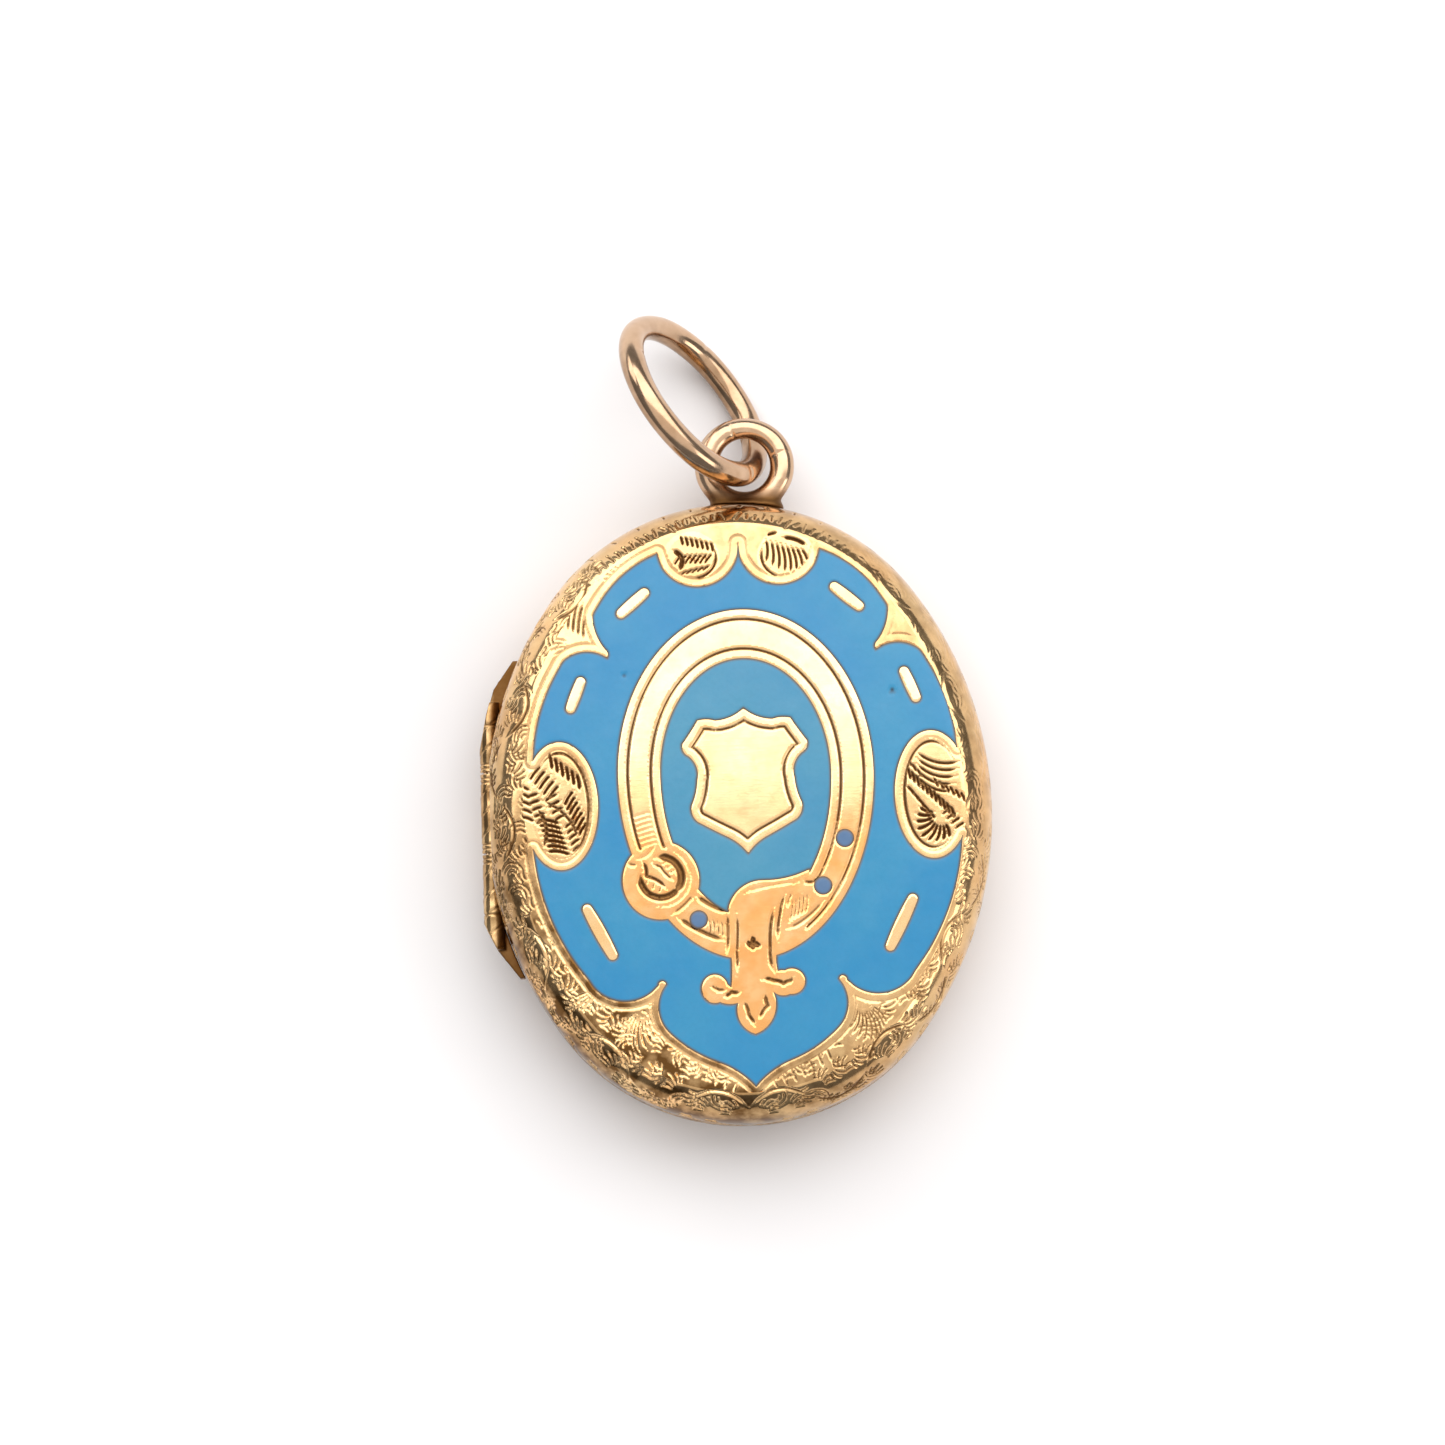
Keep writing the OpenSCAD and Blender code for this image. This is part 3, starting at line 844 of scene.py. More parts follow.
def enamel(name, blue, deep):
    """Opaque glassy enamel: uneven firing, a few pits and a stained edge."""
    material, tree, shader = new_material(name)
    base = mix(tree, cloud(tree, 0.22), colour(*blue), colour(*deep))
    grain = remap(tree, noise(tree, 5.5, 4), 0.4, 0.7, 0, 0.14)
    base = mix(tree, grain, base, colour(*(c * 0.72 for c in deep)))
    base = mix(tree, attribute(tree, "pit"), base, colour(0.02, 0.03, 0.04))
    stain = remap(tree, attribute(tree, "edge"), 0.15, 0.75, 0, 0.9)
    base = mix(tree, stain, base, colour(0.11, 0.065, 0.02))
    gloss = remap(tree, noise(tree, 1.5, 4), 0.3, 0.7, 0.12, 0.26)
    dress(tree, shader, base, gloss, noise(tree, 1.1, 3), 0.08)
    return material


def card(name):
    """Old brown card with a few spots."""
    material, tree, shader = new_material(name)
    base = mix(tree, cloud(tree, 0.3, 4), colour(0.84, 0.72, 0.53), colour(0.72, 0.57, 0.38))
    spots = remap(tree, noise(tree, 1.6, 2), 0.66, 0.74, 0, 0.6)
    base = mix(tree, spots, base, colour(0.34, 0.2, 0.09))
    dress(tree, shader, base, remap(tree, noise(tree, 4, 3), 0.3, 0.7, 0.7, 0.9), noise(tree, 22, 4), 0.06)
    return material


def glass(name):
    """Clear glass with faint smears."""
    material, tree, shader = new_material(name)
    tint = mix(tree, cloud(tree, 0.4), colour(0.99, 0.99, 0.985), colour(0.95, 0.97, 0.965))
    dress(tree, shader, tint, remap(tree, noise(tree, 1.4, 4), 0.45, 0.8, 0.02, 0.12))
    shader.inputs["Transmission Weight"].default_value = 1.0
    shader.inputs["IOR"].default_value = 1.5
    return material


engraved_gold = gold("engraved_gold", (0.94, 0.65, 0.33), (0.92, 0.56, 0.26), 0.13)
# belt_gold's deep orange is the painted shade of the lower belt
belt_gold = gold("belt_gold", (0.96, 0.7, 0.4), (0.94, 0.62, 0.3), 0.12, tarnish_and_shade_colour=(0.93, 0.46, 0.16))
polished_gold = gold("polished_gold", (0.93, 0.70, 0.44), (0.88, 0.62, 0.36), 0.16)
ring_gold = gold("ring_gold", (0.74, 0.52, 0.35), (0.62, 0.41, 0.26), 0.17, tarnish_and_shade_colour=(0.3, 0.18, 0.1))
blue_enamel = enamel("blue_enamel", (0.026, 0.25, 0.46), (0.012, 0.22, 0.46))
centre_enamel = enamel("centre_enamel", (0.05, 0.26, 0.42), (0.035, 0.235, 0.42))
eyelet_enamel = enamel("eyelet_enamel", (0.09, 0.18, 0.33), (0.07, 0.15, 0.3))
picture_card = card("picture_card")
picture_glass = glass("picture_glass")

# --- Front cover and enamel ---

edge_step = 0.055
border_loops = [smooth_loop(loop, edge_step) for loop in top_loops("enamel_border")]
centre_loops = [smooth_loop(loop, edge_step) for loop in top_loops("enamel_centre")]
eyelet_loops = [smooth_loop(loop, edge_step) for loop in top_loops("enamel_eyelets")]
enamel_loops = border_loops + centre_loops + eyelet_loops
edge_tree = tree_of(np.concatenate(enamel_loops))

ring_columns = 1320
ring_s = np.arange(ring_columns) * girth / ring_columns
band = band_strokes()

# Lines beside the enamel: distance from its edge, and half width. cut_full is the depth that counts as 1
border_line = 0.29
belt_line = 0.38
line_half = 0.085
cut_full = 0.045

# Panels of the face: where their engraving is drawn, the lobes' middle height, and the half width and half
# height of the cartouches with the radius of the lobes, first out to the rim and then of the engraved field
cartouche_at = (7.4, 0.25)
lobe_at = (1.9, 10.05)
lobe_middle = 10
panel_sizes = (1.5, 2.55, 1.15)
field_sizes = (1.16, 2.16, 0.95)
band_stops_at = 5.4  # Above this height the face's edge is plain
bar_span = 4  # The bars' outlines are shorter than this
shield_depth = 4  # Outlines round the shield
lined_above = -1.6  # The belt has its edge lines above the buckle
lined_right, lined_low = 2.2, -5  # and to the right of the knot


def span(loop):
    """The larger side of a loop's box."""
    return (loop.max(0) - loop.min(0)).max()


def panel_strokes():
    """The engraving of the two cartouches and the two lobes."""
    (far_x, far_y), (near_x, near_y) = cartouche_at, lobe_at
    strokes = placed(right_cartouche_strokes(), design_x + far_x, far_y)
    strokes += placed(right_lobe_strokes(), design_x + near_x, near_y)
    strokes += placed(left_cartouche_strokes(), design_x - far_x, far_y)
    strokes += placed(left_lobe_strokes(), design_x - near_x, near_y)
    return [(path, 1.25 * half, 1.5 * depth) for path, half, depth in strokes]


def in_panels(x, y, half_wide, half_high, lobe_r):
    """Whether points lie in the cartouches' ovals or the lobes' circles."""
    in_oval = np.hypot((np.abs(x) - cartouche_at[0]) / half_wide, (y - cartouche_at[1]) / half_high) < 1
    return in_oval | (np.hypot(np.abs(x) - lobe_at[0], y - lobe_middle) < lobe_r)


def beside(to_edge, line):
    """1 on the line that runs this far from an edge, falling to 0 at its sides."""
    return unit(1 - np.abs(to_edge - line) / line_half)


def border_cuts(plan, s, inset, to_edge, panels, cusps):
    """Cuts, edge line, and tarnishing with painted shade, of the gold outside the enamel."""
    x, y = plan[:, 0] - design_x, plan[:, 1]
    in_panel = in_panels(x, y, *panel_sizes)
    in_field = in_panels(x, y, *field_sizes)
    clear_of_enamel = unit((to_edge - border_line) / 0.05)
    unrolled_plan = np.column_stack([s, bevel_w - inset])
    band_cut = np.where(y > band_stops_at, 0, carve(unrolled_plan, band, girth) * 0.85)
    band_cut = np.maximum(band_cut, carve(plan, cusps))
    cut = np.where(in_panel, carve(plan, panels), band_cut * wear_at(s)) * clear_of_enamel
    # Painted shade with the tarnishing: the plate darkens towards the rim, following the darkness round the
    # case
    near_rim = unit(1.3 - (inset - bevel_w) / 2.6)
    stain = np.where(x > 0, 0.16, 0.28) * in_field
    tarnish = np.where(in_panel, stain, 0.95 * near_rim * tarnish_at(s))
    return cut, 0.04 * beside(to_edge, border_line) * wear_at(s), tarnish


def belt_cuts(plan, belt):
    """Cuts, edge line and painted shade of the belt, the shield and the bars."""
    x, y = plan[:, 0] - design_x, plan[:, 1]
    depth_in = crossings(plan, border_loops + centre_loops)
    on_shield = depth_in == shield_depth
    bars = crossings(plan, [loop for loop in border_loops if span(loop) < bar_span]) > 0
    to_belt_edge = nearest(tree_of(np.concatenate(border_loops + centre_loops)), plan)
    on_belt = (depth_in < shield_depth) & ~bars & ((y > lined_above) | ((x > lined_right) & (y > lined_low)))
    line = np.where(on_belt | on_shield, 0.065 * beside(to_belt_edge, belt_line), 0)
    # Painted shade: the belt grows deeper orange towards the foot, as the face there mirrors darker
    # surroundings; the shield and bars stay clear
    tarnish = np.where(bars | on_shield, 0, np.clip((1 - y) / 3, 0, 0.8))
    return carve(plan, belt), line, tarnish


def face_piece(name, outer, pitch):
    """The engraved gold outside the enamel, or the belt, shield and bars that stand in it."""
    belt = placed(belt_strokes(), design_x, 0)
    panels = panel_strokes()
    cusps = placed(both(cusp_strokes()), design_x, 0)
    wanted = panels + cusps if outer else belt
    edge_loop = oval_points(ring_s, bevel_w)
    all_loops = [edge_loop] + enamel_loops

    def on_piece(points):
        gold_there = crossings(points, all_loops) % 2 == 1
        return gold_there & ((crossings(points, border_loops + centre_loops) == 0) == outer)

    beside_edge = [0.03, 0.23, border_line, 0.35] if outer else [0.03, 0.33, belt_line, 0.43]
    rows = offset_rows(enamel_loops, beside_edge, edge_tree)
    centres = np.concatenate([walked(np.asarray(p), 0.045)[0] for p, w, d in wanted])
    grid = hex_grid((-half_w, -half_h), (half_w, half_h), pitch)
    rows, centres, grid = (part[on_piece(part)] for part in (rows, centres, grid))
    kept = all_loops if outer else enamel_loops
    plan, faces = triangulated(kept, [(rows, 0.024), (centres, 0.03)], (grid, pitch * 0.6), on_piece)
    to_edge = nearest(edge_tree, plan)
    s, inset = unrolled(plan)
    if outer:
        cut, line, tarnish = border_cuts(plan, s, inset, to_edge, panels, cusps)
    else:
        cut, line, tarnish = belt_cuts(plan, belt)
    cut = np.maximum(cut, line)
    soft = 0.014 * unit(1 - to_edge / 0.03)
    dirt = cut / cut_full
    if outer:
        dirt, tarnish = aged(cut, tarnish, s)
    return solid_plate(name, plan, faces, face_level(plan, inset) - cut - soft, under_plate,
                       {"cut": dirt, "tarnish": tarnish}, sharp=60)


# Small pits in the enamel: place and radius
enamel_pits = [(-4.4, 5.45, 0.09), (6.25, 4.45, 0.13), (3.9, -0.2, 0.06), (-1.9, -6.6, 0.05)]


def enamel_piece(name, loops, pitch, sink=0.01):
    """A pool of enamel that meets the gold a hair below its edge."""
    tree = tree_of(np.concatenate(loops))
    rows = offset_rows(loops, [0.04, 0.09, 0.18], tree)
    low, high = np.concatenate(loops).min(0), np.concatenate(loops).max(0)
    grid = hex_grid(low, high, pitch)
    plan, faces = triangulated(loops, [(rows, 0.02)], (grid, pitch * 0.55),
                               lambda middles: crossings(middles, loops) % 2 == 1)
    to_edge = nearest(tree, plan)
    _, inset = unrolled(plan)
    dip = sink + 0.014 * unit(1 - to_edge / 0.12) ** 2
    pit = np.zeros(len(plan))
    for px, py, size in enamel_pits:
        pit = np.maximum(pit, unit(1.6 * (1 - np.hypot(plan[:, 0] - px, plan[:, 1] - py) / size)))
    dip = dip + 0.05 * pit
    ripple = 0.004 * np.sin(1.9 * plan[:, 0] + 0.7) * np.sin(1.6 * plan[:, 1])
    top = face_level(plan, inset) - dip + ripple * unit(to_edge / 0.4)
    edge = unit(1 - to_edge / 0.13)
    return solid_plate(name, plan, faces, top, under_enamel, {"edge": edge, "pit": pit}, sharp=60)


def case_half(name, worn, last_rows, turned=False):
    """One half's engraved side and bevel, the inside of its shell, and last_rows of (inset, height)
    over the face, closed with a flat cap. worn is how much of the engraving is left."""
    rows_u = np.linspace(0, band_foot, 60)
    s, u = (grid.ravel() for grid in np.meshgrid(ring_s, rows_u))
    foot_line = 0.05 * unit(1 - np.abs(u - (band_foot - 0.12)) / 0.06)
    cut = np.maximum(carve(np.column_stack([s, u]), band, girth), foot_line)
    cut = cut * worn(s) * unit((band_foot - u) / 0.05)
    centre, radius, normal = oval_frame(s)
    inset, height, tilt = section_at(u)
    plan = centre + (radius - inset)[:, None] * normal
    drop = face_drop(inset, height, plan[:, 0], plan[:, 1])
    plan = plan - (cut * np.cos(tilt))[:, None] * normal
    outside = np.column_stack([plan, height - drop - cut * np.sin(tilt)])
    inside = [(0.04, part_z), (wall, part_z), (wall, girth_z + 0.05), (bevel_w + 0.3, case_t - plate)]

    rings = [np.column_stack([oval_points(ring_s, ring_inset), np.full(ring_columns, z)])
             for ring_inset, z in inside + last_rows]
    body_rows = len(rows_u) + len(inside)
    points = np.concatenate([outside] + rings)
    faces = grid_faces(body_rows, ring_columns)
    faces.append([(body_rows - 1) * ring_columns + i for i in range(ring_columns)])
    order = [0] + [body_rows + k for k in range(len(last_rows))]
    around = np.arange(ring_columns)
    onward = (around + 1) % ring_columns
    for a, b in zip(order, order[1:]):
        a, b = a * ring_columns, b * ring_columns
        faces += np.stack([a + around, a + onward, b + onward, b + around], -1).tolist()
    faces.append([order[-1] * ring_columns + i for i in range(ring_columns)][::-1])
    # Painted shade with the tarnishing: the side darkens down from the face's edge, half as dark at the edge
    dirt, tarnish = aged(cut, tarnish_at(s) * unit(0.5 + u / 0.7), s)
    clean = np.zeros(len(points) - len(cut))
    values = {"cut": np.concatenate([dirt, clean]), "tarnish": np.concatenate([tarnish, clean])}
    if turned:
        points = points * [1, 1, -1] + [0, 0, case_t]
        points[:, 2] = np.maximum(points[:, 2], 0)
    return outward(add_mesh(name, points, faces, values, sharp=50))


def box_mesh(name, low, high):
    """A box between two corners."""
    (x0, y0, z0), (x1, y1, z1) = low, high
    corners = [(x, y, z) for x in (x0, x1) for y in (y0, y1) for z in (z0, z1)]
    faces = [(0, 1, 3, 2), (4, 6, 7, 5), (0, 4, 5, 1), (2, 3, 7, 6), (0, 2, 6, 4), (1, 5, 7, 3)]
    return add_mesh(name, corners, faces, sharp=30)


def rod_mesh(name, x, z, radius, y0, y1, sides=64):
    """A rod along Y."""
    t = turns(sides)
    ring = np.column_stack([x + radius * np.sin(t), np.zeros(sides), z + radius * np.cos(t)])
    points = np.concatenate([ring + [0, y0, 0], ring + [0, y1, 0]])
    faces = grid_faces(2, sides) + [list(range(sides)), [sides + i for i in range(sides)][::-1]]
    return add_mesh(name, points, [f[::-1] for f in faces], sharp=40)


# --- Hinge places, from the frame ---

pin_low, pin_high = node_box("hinge_pin")
hinge_x, hinge_z = (pin_low[0] + pin_high[0]) / 2, (pin_low[2] + pin_high[2]) / 2
middle_low, middle_high = node_box("middle_hinge_knuckle")
knuckle_r = (middle_high[2] - middle_low[2]) / 2
hinge_y = (middle_low[1] + middle_high[1]) / 2
middle_half = (middle_high[1] - middle_low[1]) / 2
outer_start = node_box("upper_hinge_knuckle")[0][1] - hinge_y
flat_half = 6.7  # Half length of the flat beside the hinge
close_gap, run_gap = 0.02, 0.07  # Clearance within a body, and between bodies that turn


def hinge_cutters(middle_gap, outer_gap, flat=True):
    """The room for the knuckles, and the flat that lets the case open right over."""
    cutters = [rod_mesh("cut_middle", hinge_x, hinge_z, knuckle_r + middle_gap,
                        hinge_y - outer_start, hinge_y + outer_start)]
    for hand in (-1, 1):
        ends = sorted((hinge_y + hand * middle_half, hinge_y + hand * (flat_half + 1)))
        cutters.append(rod_mesh("cut_outer", hinge_x, hinge_z, knuckle_r + outer_gap, *ends))
    if not flat:
        return cutters
    cutters.append(box_mesh("cut_flat", (-2 * half_w, hinge_y - flat_half, -1),
                            (hinge_x + close_gap, hinge_y + flat_half, case_t + 1)))
    return cutters


def front_cover():
    """The front: the engraved side, the gold round the enamel, and the belt, shield and bars."""
    shell = case_half("front_cover_side", wear_at, [(bevel_w, under_plate)])
    combine(shell, hinge_cutters(close_gap, run_gap))
    border = face_piece("front_cover_border", True, 0.046)
    belt = face_piece("front_cover_belt", False, 0.058)
    for piece, finish in ((shell, engraved_gold), (border, engraved_gold), (belt, belt_gold)):
        settle(piece, "front_half", finish, ["front_cover"])


def back_cover():
    """The back: less worn, with one turned groove round its flat."""
    groove = (1.66, case_t - 0.04)
    flat = [(inset, case_t) for inset in (1.25, 1.4, 1.6, 1.72, 2.2, 3.2)]
    rows = sorted(flat + [groove])
    shell = case_half("back_cover_shell", lambda s: 0.5 + 0.4 * wear_at(s), rows, turned=True)
    combine(shell, hinge_cutters(run_gap, close_gap))
    settle(shell, "back_half", engraved_gold, ["back_cover"])


front_cover()
back_cover()
for part, loops, pitch, sink, finish in (("border", border_loops, 0.13, 0.01, blue_enamel),
                                         ("centre", centre_loops, 0.13, 0.01, centre_enamel),
                                         ("eyelet", eyelet_loops, 0.1, 0.02, eyelet_enamel)):
    stands_for = "enamel_eyelets" if part == "eyelet" else "enamel_" + part
    settle(enamel_piece(f"enamel_{part}_glaze", loops, pitch, sink), "front_half",
           finish, [stands_for])

# --- Bail and jump ring ---

bail_low, bail_high = node_box("bail_ring")
bail_centre = np.array([(bail_low[0] + bail_high[0]) / 2, 0, (bail_low[2] + bail_high[2]) / 2])
bail_wire = (bail_high[2] - bail_low[2]) / 2
bail_r = (bail_high[0] - bail_low[0]) / 2 - bail_wire
bail_centre[1] = bail_high[1] - bail_r - bail_wire


def jump_frame():
    """Centre, axes, ring radius and wire radius of the jump ring, from its CAD mesh."""
    co = np.array([v.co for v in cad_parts["jump_ring"].data.vertices]) / MM
    low, high = co.min(0), co.max(0)
    centre = (low + high) / 2
    _, _, axes = np.linalg.svd(co - centre, full_matrices=False)
    if np.linalg.det(axes) < 0:
        axes[2] *= -1
    local = (co - centre) @ axes.T
    wire = local[:, 2].max()
    return centre, axes, np.hypot(local[:, 0], local[:, 1]).max() - wire, wire


jump_centre, jump_axes, jump_r, jump_wire = jump_frame()


def corners_of(piece):
    """The piece's vertices in millimetres."""
    co = np.empty(len(piece.data.vertices) * 3)
    piece.data.vertices.foreach_get("co", co)
    return co.reshape(-1, 3) / MM


def paint(piece, co, **values):
    """Writes moved corners and float attributes to a piece."""
    piece.data.vertices.foreach_set("co", (co * MM).ravel())
    store(piece.data, values)
    piece.data.update()


painted_shade_side = np.array([-0.72, -0.55, -0.42])  # The side of the jump ring darkened as painted shade


def hump(x, middle, half):
    """A smooth bump of height 1."""
    return np.exp(-((x - middle) / half) ** 2)


def jump_ring():
    """The loose ring: a worn place, nicks and the seam where it was closed."""
    seam = math.radians(120)

    def wire(t, p):
        worn = 0.02 * hump(t, 4.6, 0.5)
        nicks = sum(0.03 * hump(t, a, 0.03) * hump(p, b, 0.5)
                    for a, b in ((1.2, 1.0), (2.6, 0.4), (3.4, 1.4), (5.2, 2.0)))
        gap = 0.05 * hump(t, seam, 0.012)
        return jump_wire - worn - nicks - gap - 0.004 * (1 + np.sin(7 * t + 3 * np.cos(p)))

    piece = ring_mesh("jump_ring_wire", jump_centre, jump_axes, lambda t: jump_r - 0.004 + 0 * t,
                      wire, 480, 44)
    co = corners_of(piece)
    local = (co - jump_centre) @ np.array(jump_axes).T
    spin = np.arctan2(local[:, 1], local[:, 0])
    inner = unit((jump_r - np.hypot(local[:, 0], local[:, 1])) / jump_wire)
    core = jump_r * np.column_stack([np.cos(spin), np.sin(spin), 0 * spin])
    facing = (local - core) @ np.array(jump_axes) / jump_wire
    under = unit(facing @ painted_shade_side)
    # Painted shade: the inside of the ring and its lower-left side are darkened, over tarnishing that varies
    # round the ring
    dark = 0.22 + 0.25 * inner + 0.8 * under + 0.15 * np.sin(2 * spin + 1.1) * np.sin(3 * spin)
    paint(piece, co, cut=hump(spin, seam, 0.014), tarnish=unit(dark))
    settle(piece, "jump_ring", ring_gold, ["jump_ring"])


def softened(piece, voxel, passes):
    """Closes and rounds a piece, as solder and wear do."""
    remesh = piece.modifiers.new("remesh", "REMESH")
    remesh.mode = "VOXEL"
    remesh.voxel_size = voxel * MM
    smooth = piece.modifiers.new("smooth", "SMOOTH")
    smooth.factor, smooth.iterations = 0.5, passes
    apply_modifiers(piece)
    piece.data.shade_smooth()
    return piece


def copy_of(node):
    """A closed copy of a CAD node's mesh."""
    piece = bpy.data.objects.new(node + "_copy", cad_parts[node].data.copy())
    bpy.context.scene.collection.objects.link(piece)
    return outward(piece, 0.0005)


def foot_mesh(name, middle, radii, rows=40, sides=48):
    """A lump of solder: a rounded bar along X, blunt at its ends."""
    along_x = np.linspace(0.03, math.pi - 0.03, rows)[:, None]
    turn = turns(sides)[None, :]
    across = np.sin(along_x)
    aim = np.stack([np.cos(along_x) + 0 * turn, across * np.cos(turn), across * np.sin(turn)], -1)
    blunt = (aim[..., 0] / radii[0]) ** 4
    plain = (aim[..., 1] / radii[1]) ** 2 + (aim[..., 2] / radii[2]) ** 2
    reach = np.sqrt(2 / (plain + np.sqrt(plain ** 2 + 4 * blunt)))
    points = (aim * reach[..., None]).reshape(-1, 3) + middle
    ends = [list(range(sides)), [(rows - 1) * sides + i for i in range(sides)][::-1]]
    return outward(add_mesh(name, points, grid_faces(rows, sides) + ends))


def bail():
    """The ring and its foot, soldered into one."""
    def radius(t):
        return bail_r + 0.03 * unit(np.sin(t))

    def wire(t, p):
        return bail_wire * (1 - 0.14 * unit(np.sin(t)) ** 2)

    ring = ring_mesh("bail_loop", bail_centre, np.eye(3), radius, wire, 240, 48)
    base_low, base_high = node_box("bail_base")
    half_foot = ((base_high[0] - base_low[0]) / 2 + 0.03, base_high[1] - half_h + 0.12, 0.72)
    combine(ring, [foot_mesh("solder", (bail_centre[0], half_h - 0.08, part_z), half_foot)], "UNION")
    case_end = rod_mesh("cut_case_end", 0, 0, end_r + 0.08, -1, case_t + 1, 256)
    case_end.rotation_euler = (math.radians(90), 0, 0)
    case_end.location = (0, end_y * MM, 0)
    bpy.context.view_layer.update()
    combine(ring, [case_end])
    softened(ring, 0.042, 6)

    # The solder runs up the ring: the low part is smoothed much more, then darkened as painted shade where it
    # meets the case
    low = unit((half_h + 1.02 - corners_of(ring)[:, 1]) / 0.4)
    solder = ring.vertex_groups.new(name="solder")
    for i, weight in enumerate(low.tolist()):
        solder.add([i], weight, "REPLACE")
    fillet = ring.modifiers.new("fillet", "SMOOTH")
    fillet.factor, fillet.iterations, fillet.vertex_group = 0.9, 70, solder.name
    apply_modifiers(ring)
    co = corners_of(ring)
    low = unit((half_h + 0.82 - co[:, 1]) / 0.55)
    x, y, z = (co - bail_centre).T
    nicks = sum(0.03 * hump(np.arctan2(y, x), a, 0.05) * hump(z, 0.4, 0.2) for a in (0.3, 1.9, 2.8))
    co[:, 2] -= nicks
    inner = unit((bail_r - 0.2 - np.hypot(x, y)) / 0.2)
    # Painted shade: the foot and the inside of the hole are darkened; the nicks hold dirt
    paint(ring, co, cut=1.15 * low + nicks / cut_full * 0.4, tarnish=unit(low + 0.6 * inner + 0.2))
    settle(ring, "back_half", ring_gold, ["bail_base", "bail_ring"])


jump_ring()
bail()

# --- Hinge ---


def knuckle(node, name, body, grooves):
    """A knuckle softened by wear, with turned grooves and slanting cuts."""
    piece = copy_of(node)
    piece.name = piece.data.name = name
    softened(piece, 0.028, 5)
    co = corners_of(piece)
    out = co[:, [0, 2]] - [hinge_x, hinge_z]
    far = np.linalg.norm(out, axis=1)
    on_tube = unit(1 - np.abs(far - knuckle_r) / 0.08)
    y = co[:, 1]
    groove = sum(0.035 * hump(y, place, 0.05) for place in grooves)
    spin = np.arctan2(out[:, 1], out[:, 0])
    slant = 0.02 * unit(np.sin(2 * math.pi * (y + 0.3 * spin) / 0.83)) ** 9
    dents = 0.012 * (1 + np.sin(3.1 * y + 1.3 * spin) * np.sin(1.7 * y - 2 * spin))
    cut = np.maximum(groove, slant) * on_tube
    inward = (cut + dents * on_tube) / np.maximum(far, 0.05)
    co[:, [0, 2]] -= out * inward[:, None]
    # Painted shade: the side of the knuckle towards the case is darkened, for the gap beside the case
    behind = unit((co[:, 0] - hinge_x + 0.05) / 0.3)
    paint(piece, co, cut=cut / cut_full + 1.1 * behind, tarnish=0.6 + 0.4 * behind)
    settle(piece, body, engraved_gold, [node])


start = hinge_y + outer_start
knuckle("upper_hinge_knuckle", "upper_knuckle", "back_half", (start + 0.15, start + 0.32, start + 1.9))
start = hinge_y - outer_start
knuckle("lower_hinge_knuckle", "lower_knuckle", "back_half", (start - 0.15, start - 0.32, start - 2.4))
knuckle("middle_hinge_knuckle", "middle_knuckle", "front_half",
        (hinge_y - 1.42, hinge_y - 1.25, hinge_y + 1.25, hinge_y + 1.42))

# --- Rims and picture frames ---

# Insets of the rims and of the snap lip, and their heights from the parting line
rim_in, rim_out = 0.92, 0.52
lip_in, lip_out = 1.4, 1.0
rim_depth, lip_high = 0.8, 0.4
rim_round = 0.07


def rims():
    """The rims that meet at the parting line; the back one carries the snap lip."""
    top, shelf = part_z + rim_depth, part_z - rim_depth
    front = swept_oval("front_rim_band", rounded([(rim_out, part_z), (rim_in, part_z), (rim_in, top),
                                                  (rim_out, top)], rim_round))
    combine(front, hinge_cutters(close_gap, run_gap, False))
    settle(front, "front_half", polished_gold, ["front_rim"])
    lip = [(rim_out, part_z), (rim_out, shelf), (lip_in, shelf), (lip_in, part_z + lip_high),
           (lip_out, part_z + lip_high), (lip_out, part_z)]
    back = swept_oval("back_rim_band", rounded(lip, rim_round))
    combine(back, hinge_cutters(run_gap, close_gap, False))
    settle(back, "back_half", polished_gold, ["back_rim"])


frame_low, frame_high = node_box("front_photo_frame")
frame_out = half_w - frame_high[0]
frame_wall, bezel_w, bezel_h, bead_pitch = 0.27, 1.2, 0.3, 0.42


def picture_frame(name, node, body, turned):
    """A frame with a sloped bezel, beaded where it holds the glass."""
    foot, head = frame_low[2], frame_high[2]
    inner = frame_out + frame_wall
    glass_low = node_box("front_photo_glass")[0][2] - close_gap
    bezel_edge = (frame_out + bezel_w, glass_low - bezel_h)
    slope = (bezel_edge[1] - foot) / (bezel_w - frame_wall)
    profile = ((0.02, 0.03), (0.1, 0.05), (0.14, 0.09), (0.19, 0.05), (0.55, 0.05), (0.62, 0.1), (0.68, 0.05),
               (0.74, -0.01), (0.82, -0.02), (0.9, 0.02))
    section = [(frame_out, head), (frame_out, foot + 0.05), (frame_out + 0.05, foot + 0.005),
               (frame_out + 0.14, foot), (frame_out + 0.22, foot + 0.01)]
    section += [(inner + d, foot + slope * d + sink) for d, sink in profile]
    section += [(bezel_edge[0], bezel_edge[1] + 0.03), (bezel_edge[0], glass_low)]
    section += [(inner, glass_low), (inner, head)]
    count = 720
    beads = round(girth / bead_pitch)
    bead_rows = (12, 13)

    def milled(points, s, rows):
        points = points.copy()
        for row in bead_rows:
            wave = np.abs(np.sin(beads * math.pi * s / girth))
            points[row * count:(row + 1) * count, 2] += 0.08 * (1 - wave) ** 2
        return points

    piece = swept_oval(name, section, count, lift=milled)
    if turned:
        turn_over(piece)
    settle(piece, body, polished_gold, [node])


def turn_over(piece):
    """Mirrors a piece of the front half into the back half."""
    co = corners_of(piece)
    co[:, 2] = case_t - co[:, 2]
    paint(piece, co)
    piece.data.flip_normals()


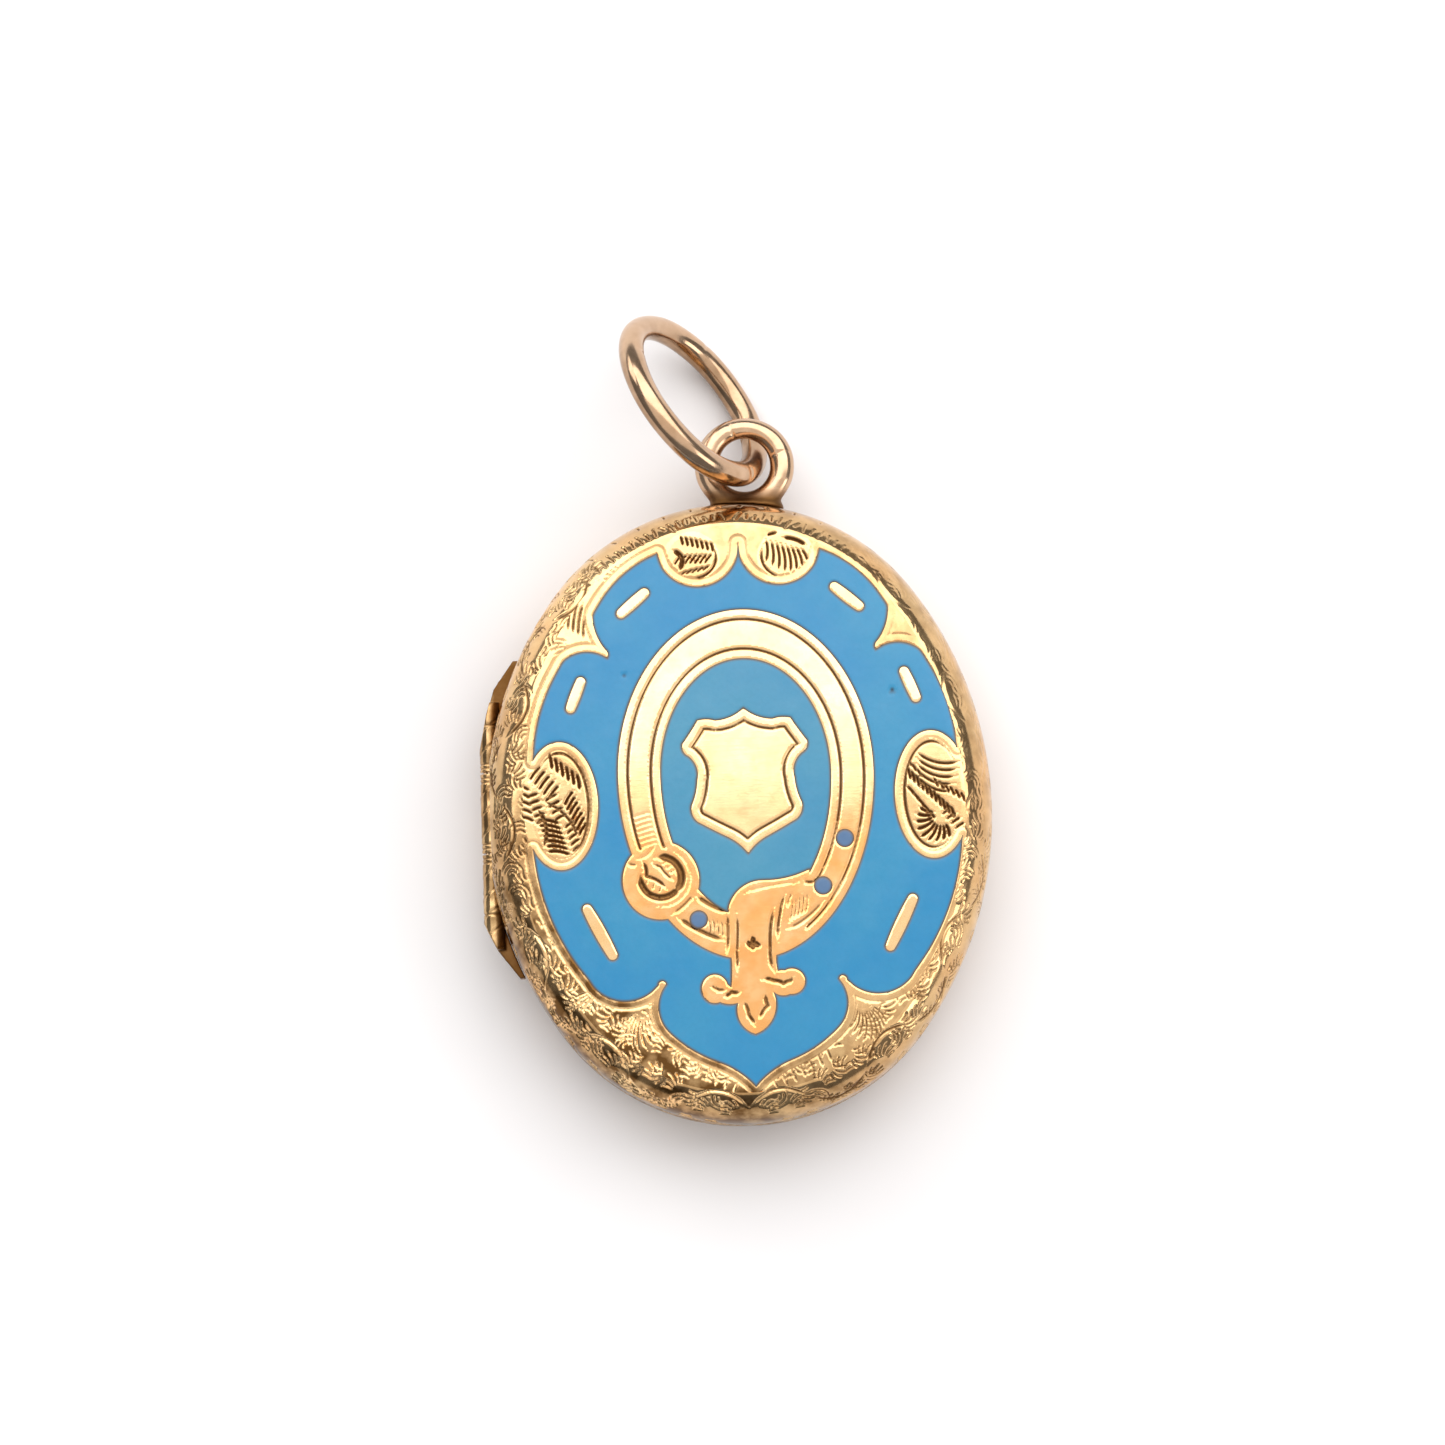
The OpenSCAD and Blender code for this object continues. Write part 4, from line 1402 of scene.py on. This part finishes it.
rims()
picture_frame("front_frame", "front_photo_frame", "front_half", False)
picture_frame("back_frame", "back_photo_frame", "back_half", True)

# --- Everything else keeps its CAD mesh ---

finishes = {"hinge_pin": polished_gold, "back_photo_glass": picture_glass, "front_photo_glass": picture_glass,
            "back_photo_card": picture_card, "front_photo_card": picture_card}
for name, material in finishes.items():
    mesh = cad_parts[name].data
    mesh.materials.clear()
    mesh.materials.append(material)

# --- Floor, light and camera ---


def floor_material():
    """Plain pale board."""
    material, tree, shader = new_material("floor")
    base = mix(tree, cloud(tree, 0.05), colour(0.88, 0.875, 0.895), colour(0.85, 0.845, 0.87))
    tree.links.new(base, shader.inputs["Base Color"])
    shader.inputs["Roughness"].default_value = 0.9
    return material


floor_half = 600
floor = add_mesh("floor", [(-floor_half, -floor_half, 0), (floor_half, -floor_half, 0),
                           (floor_half, floor_half, 0), (-floor_half, floor_half, 0)], [(0, 1, 2, 3)])
floor.data.materials.append(floor_material())

scene = bpy.context.scene
scene.view_settings.view_transform = "Standard"
scene.view_settings.look = "None"

world = bpy.data.worlds.new("studio")
world.use_nodes = True
background = world.node_tree.nodes["Background"]
background.inputs["Color"].default_value = (0.93, 0.95, 1.0, 1)
background.inputs["Strength"].default_value = 0.25
scene.world = world


def softbox(name, place, aim, width, height, power, tint=(1, 1, 1)):
    """A rectangular soft light. Places and sizes are in millimetres."""
    light = bpy.data.lights.new(name, "AREA")
    light.shape = "RECTANGLE"
    light.size, light.size_y = width * MM, height * MM
    light.energy = power
    light.color = tint
    lamp = bpy.data.objects.new(name, light)
    lamp.location = Vector(place) * MM
    lamp.rotation_euler = (Vector(place) - Vector(aim)).to_track_quat("Z", "Y").to_euler()
    scene.collection.objects.link(lamp)
    return lamp


def panel(name, low, high, level, radiance, tint):
    """A level soft panel over the table, as bright as the given radiance."""
    (x0, y0), (x1, y1) = low, high
    middle = ((x0 + x1) / 2, (y0 + y1) / 2, level)
    area = (x1 - x0) * (y1 - y0) * MM * MM
    softbox(name, middle, (middle[0], middle[1], 0), x1 - x0, y1 - y0, radiance * math.pi * area, tint)


panel("overhead_light", (-400, 68), (800, 968), 520, 2.4, (1, 0.99, 0.97))
panel("ceiling_light", (-500, -500), (700, 68), 520, 0.8, (1, 0.93, 0.84))
softbox("low_left_light", (-420, 420, 260), (0, 0, 0), 380, 300, 0.75, (1, 0.98, 0.95))
softbox("right_light", (420, -180, 200), (0, 0, 0), 220, 220, 0.42, (1, 0.98, 0.95))

# The photograph's view: nearly straight down, a little from the foot of the locket
camera_turn = math.radians(1.9)
camera_lean = math.radians(7.5)
camera_far = 200
frame_w = 58.3
frame_centre = (-0.66, 3.72)
camera_data = bpy.data.cameras.new("camera")
camera_data.sensor_width = 36
camera_data.lens = 36 * camera_far / frame_w
camera = bpy.data.objects.new("camera", camera_data)
right = Vector((math.cos(camera_turn), -math.sin(camera_turn), 0))
up_table = Vector((math.sin(camera_turn), math.cos(camera_turn), 0))
target = frame_centre[0] * right + frame_centre[1] * up_table + Vector((0, 0, part_z))
back = -math.sin(camera_lean) * up_table + math.cos(camera_lean) * Vector((0, 0, 1))
camera.location = (target + camera_far * back) * MM
up = back.cross(right)
camera.rotation_euler = Matrix((right, up, back)).transposed().to_euler()
camera_data.clip_start, camera_data.clip_end = 0.01, 10
scene.collection.objects.link(camera)
scene.camera = camera
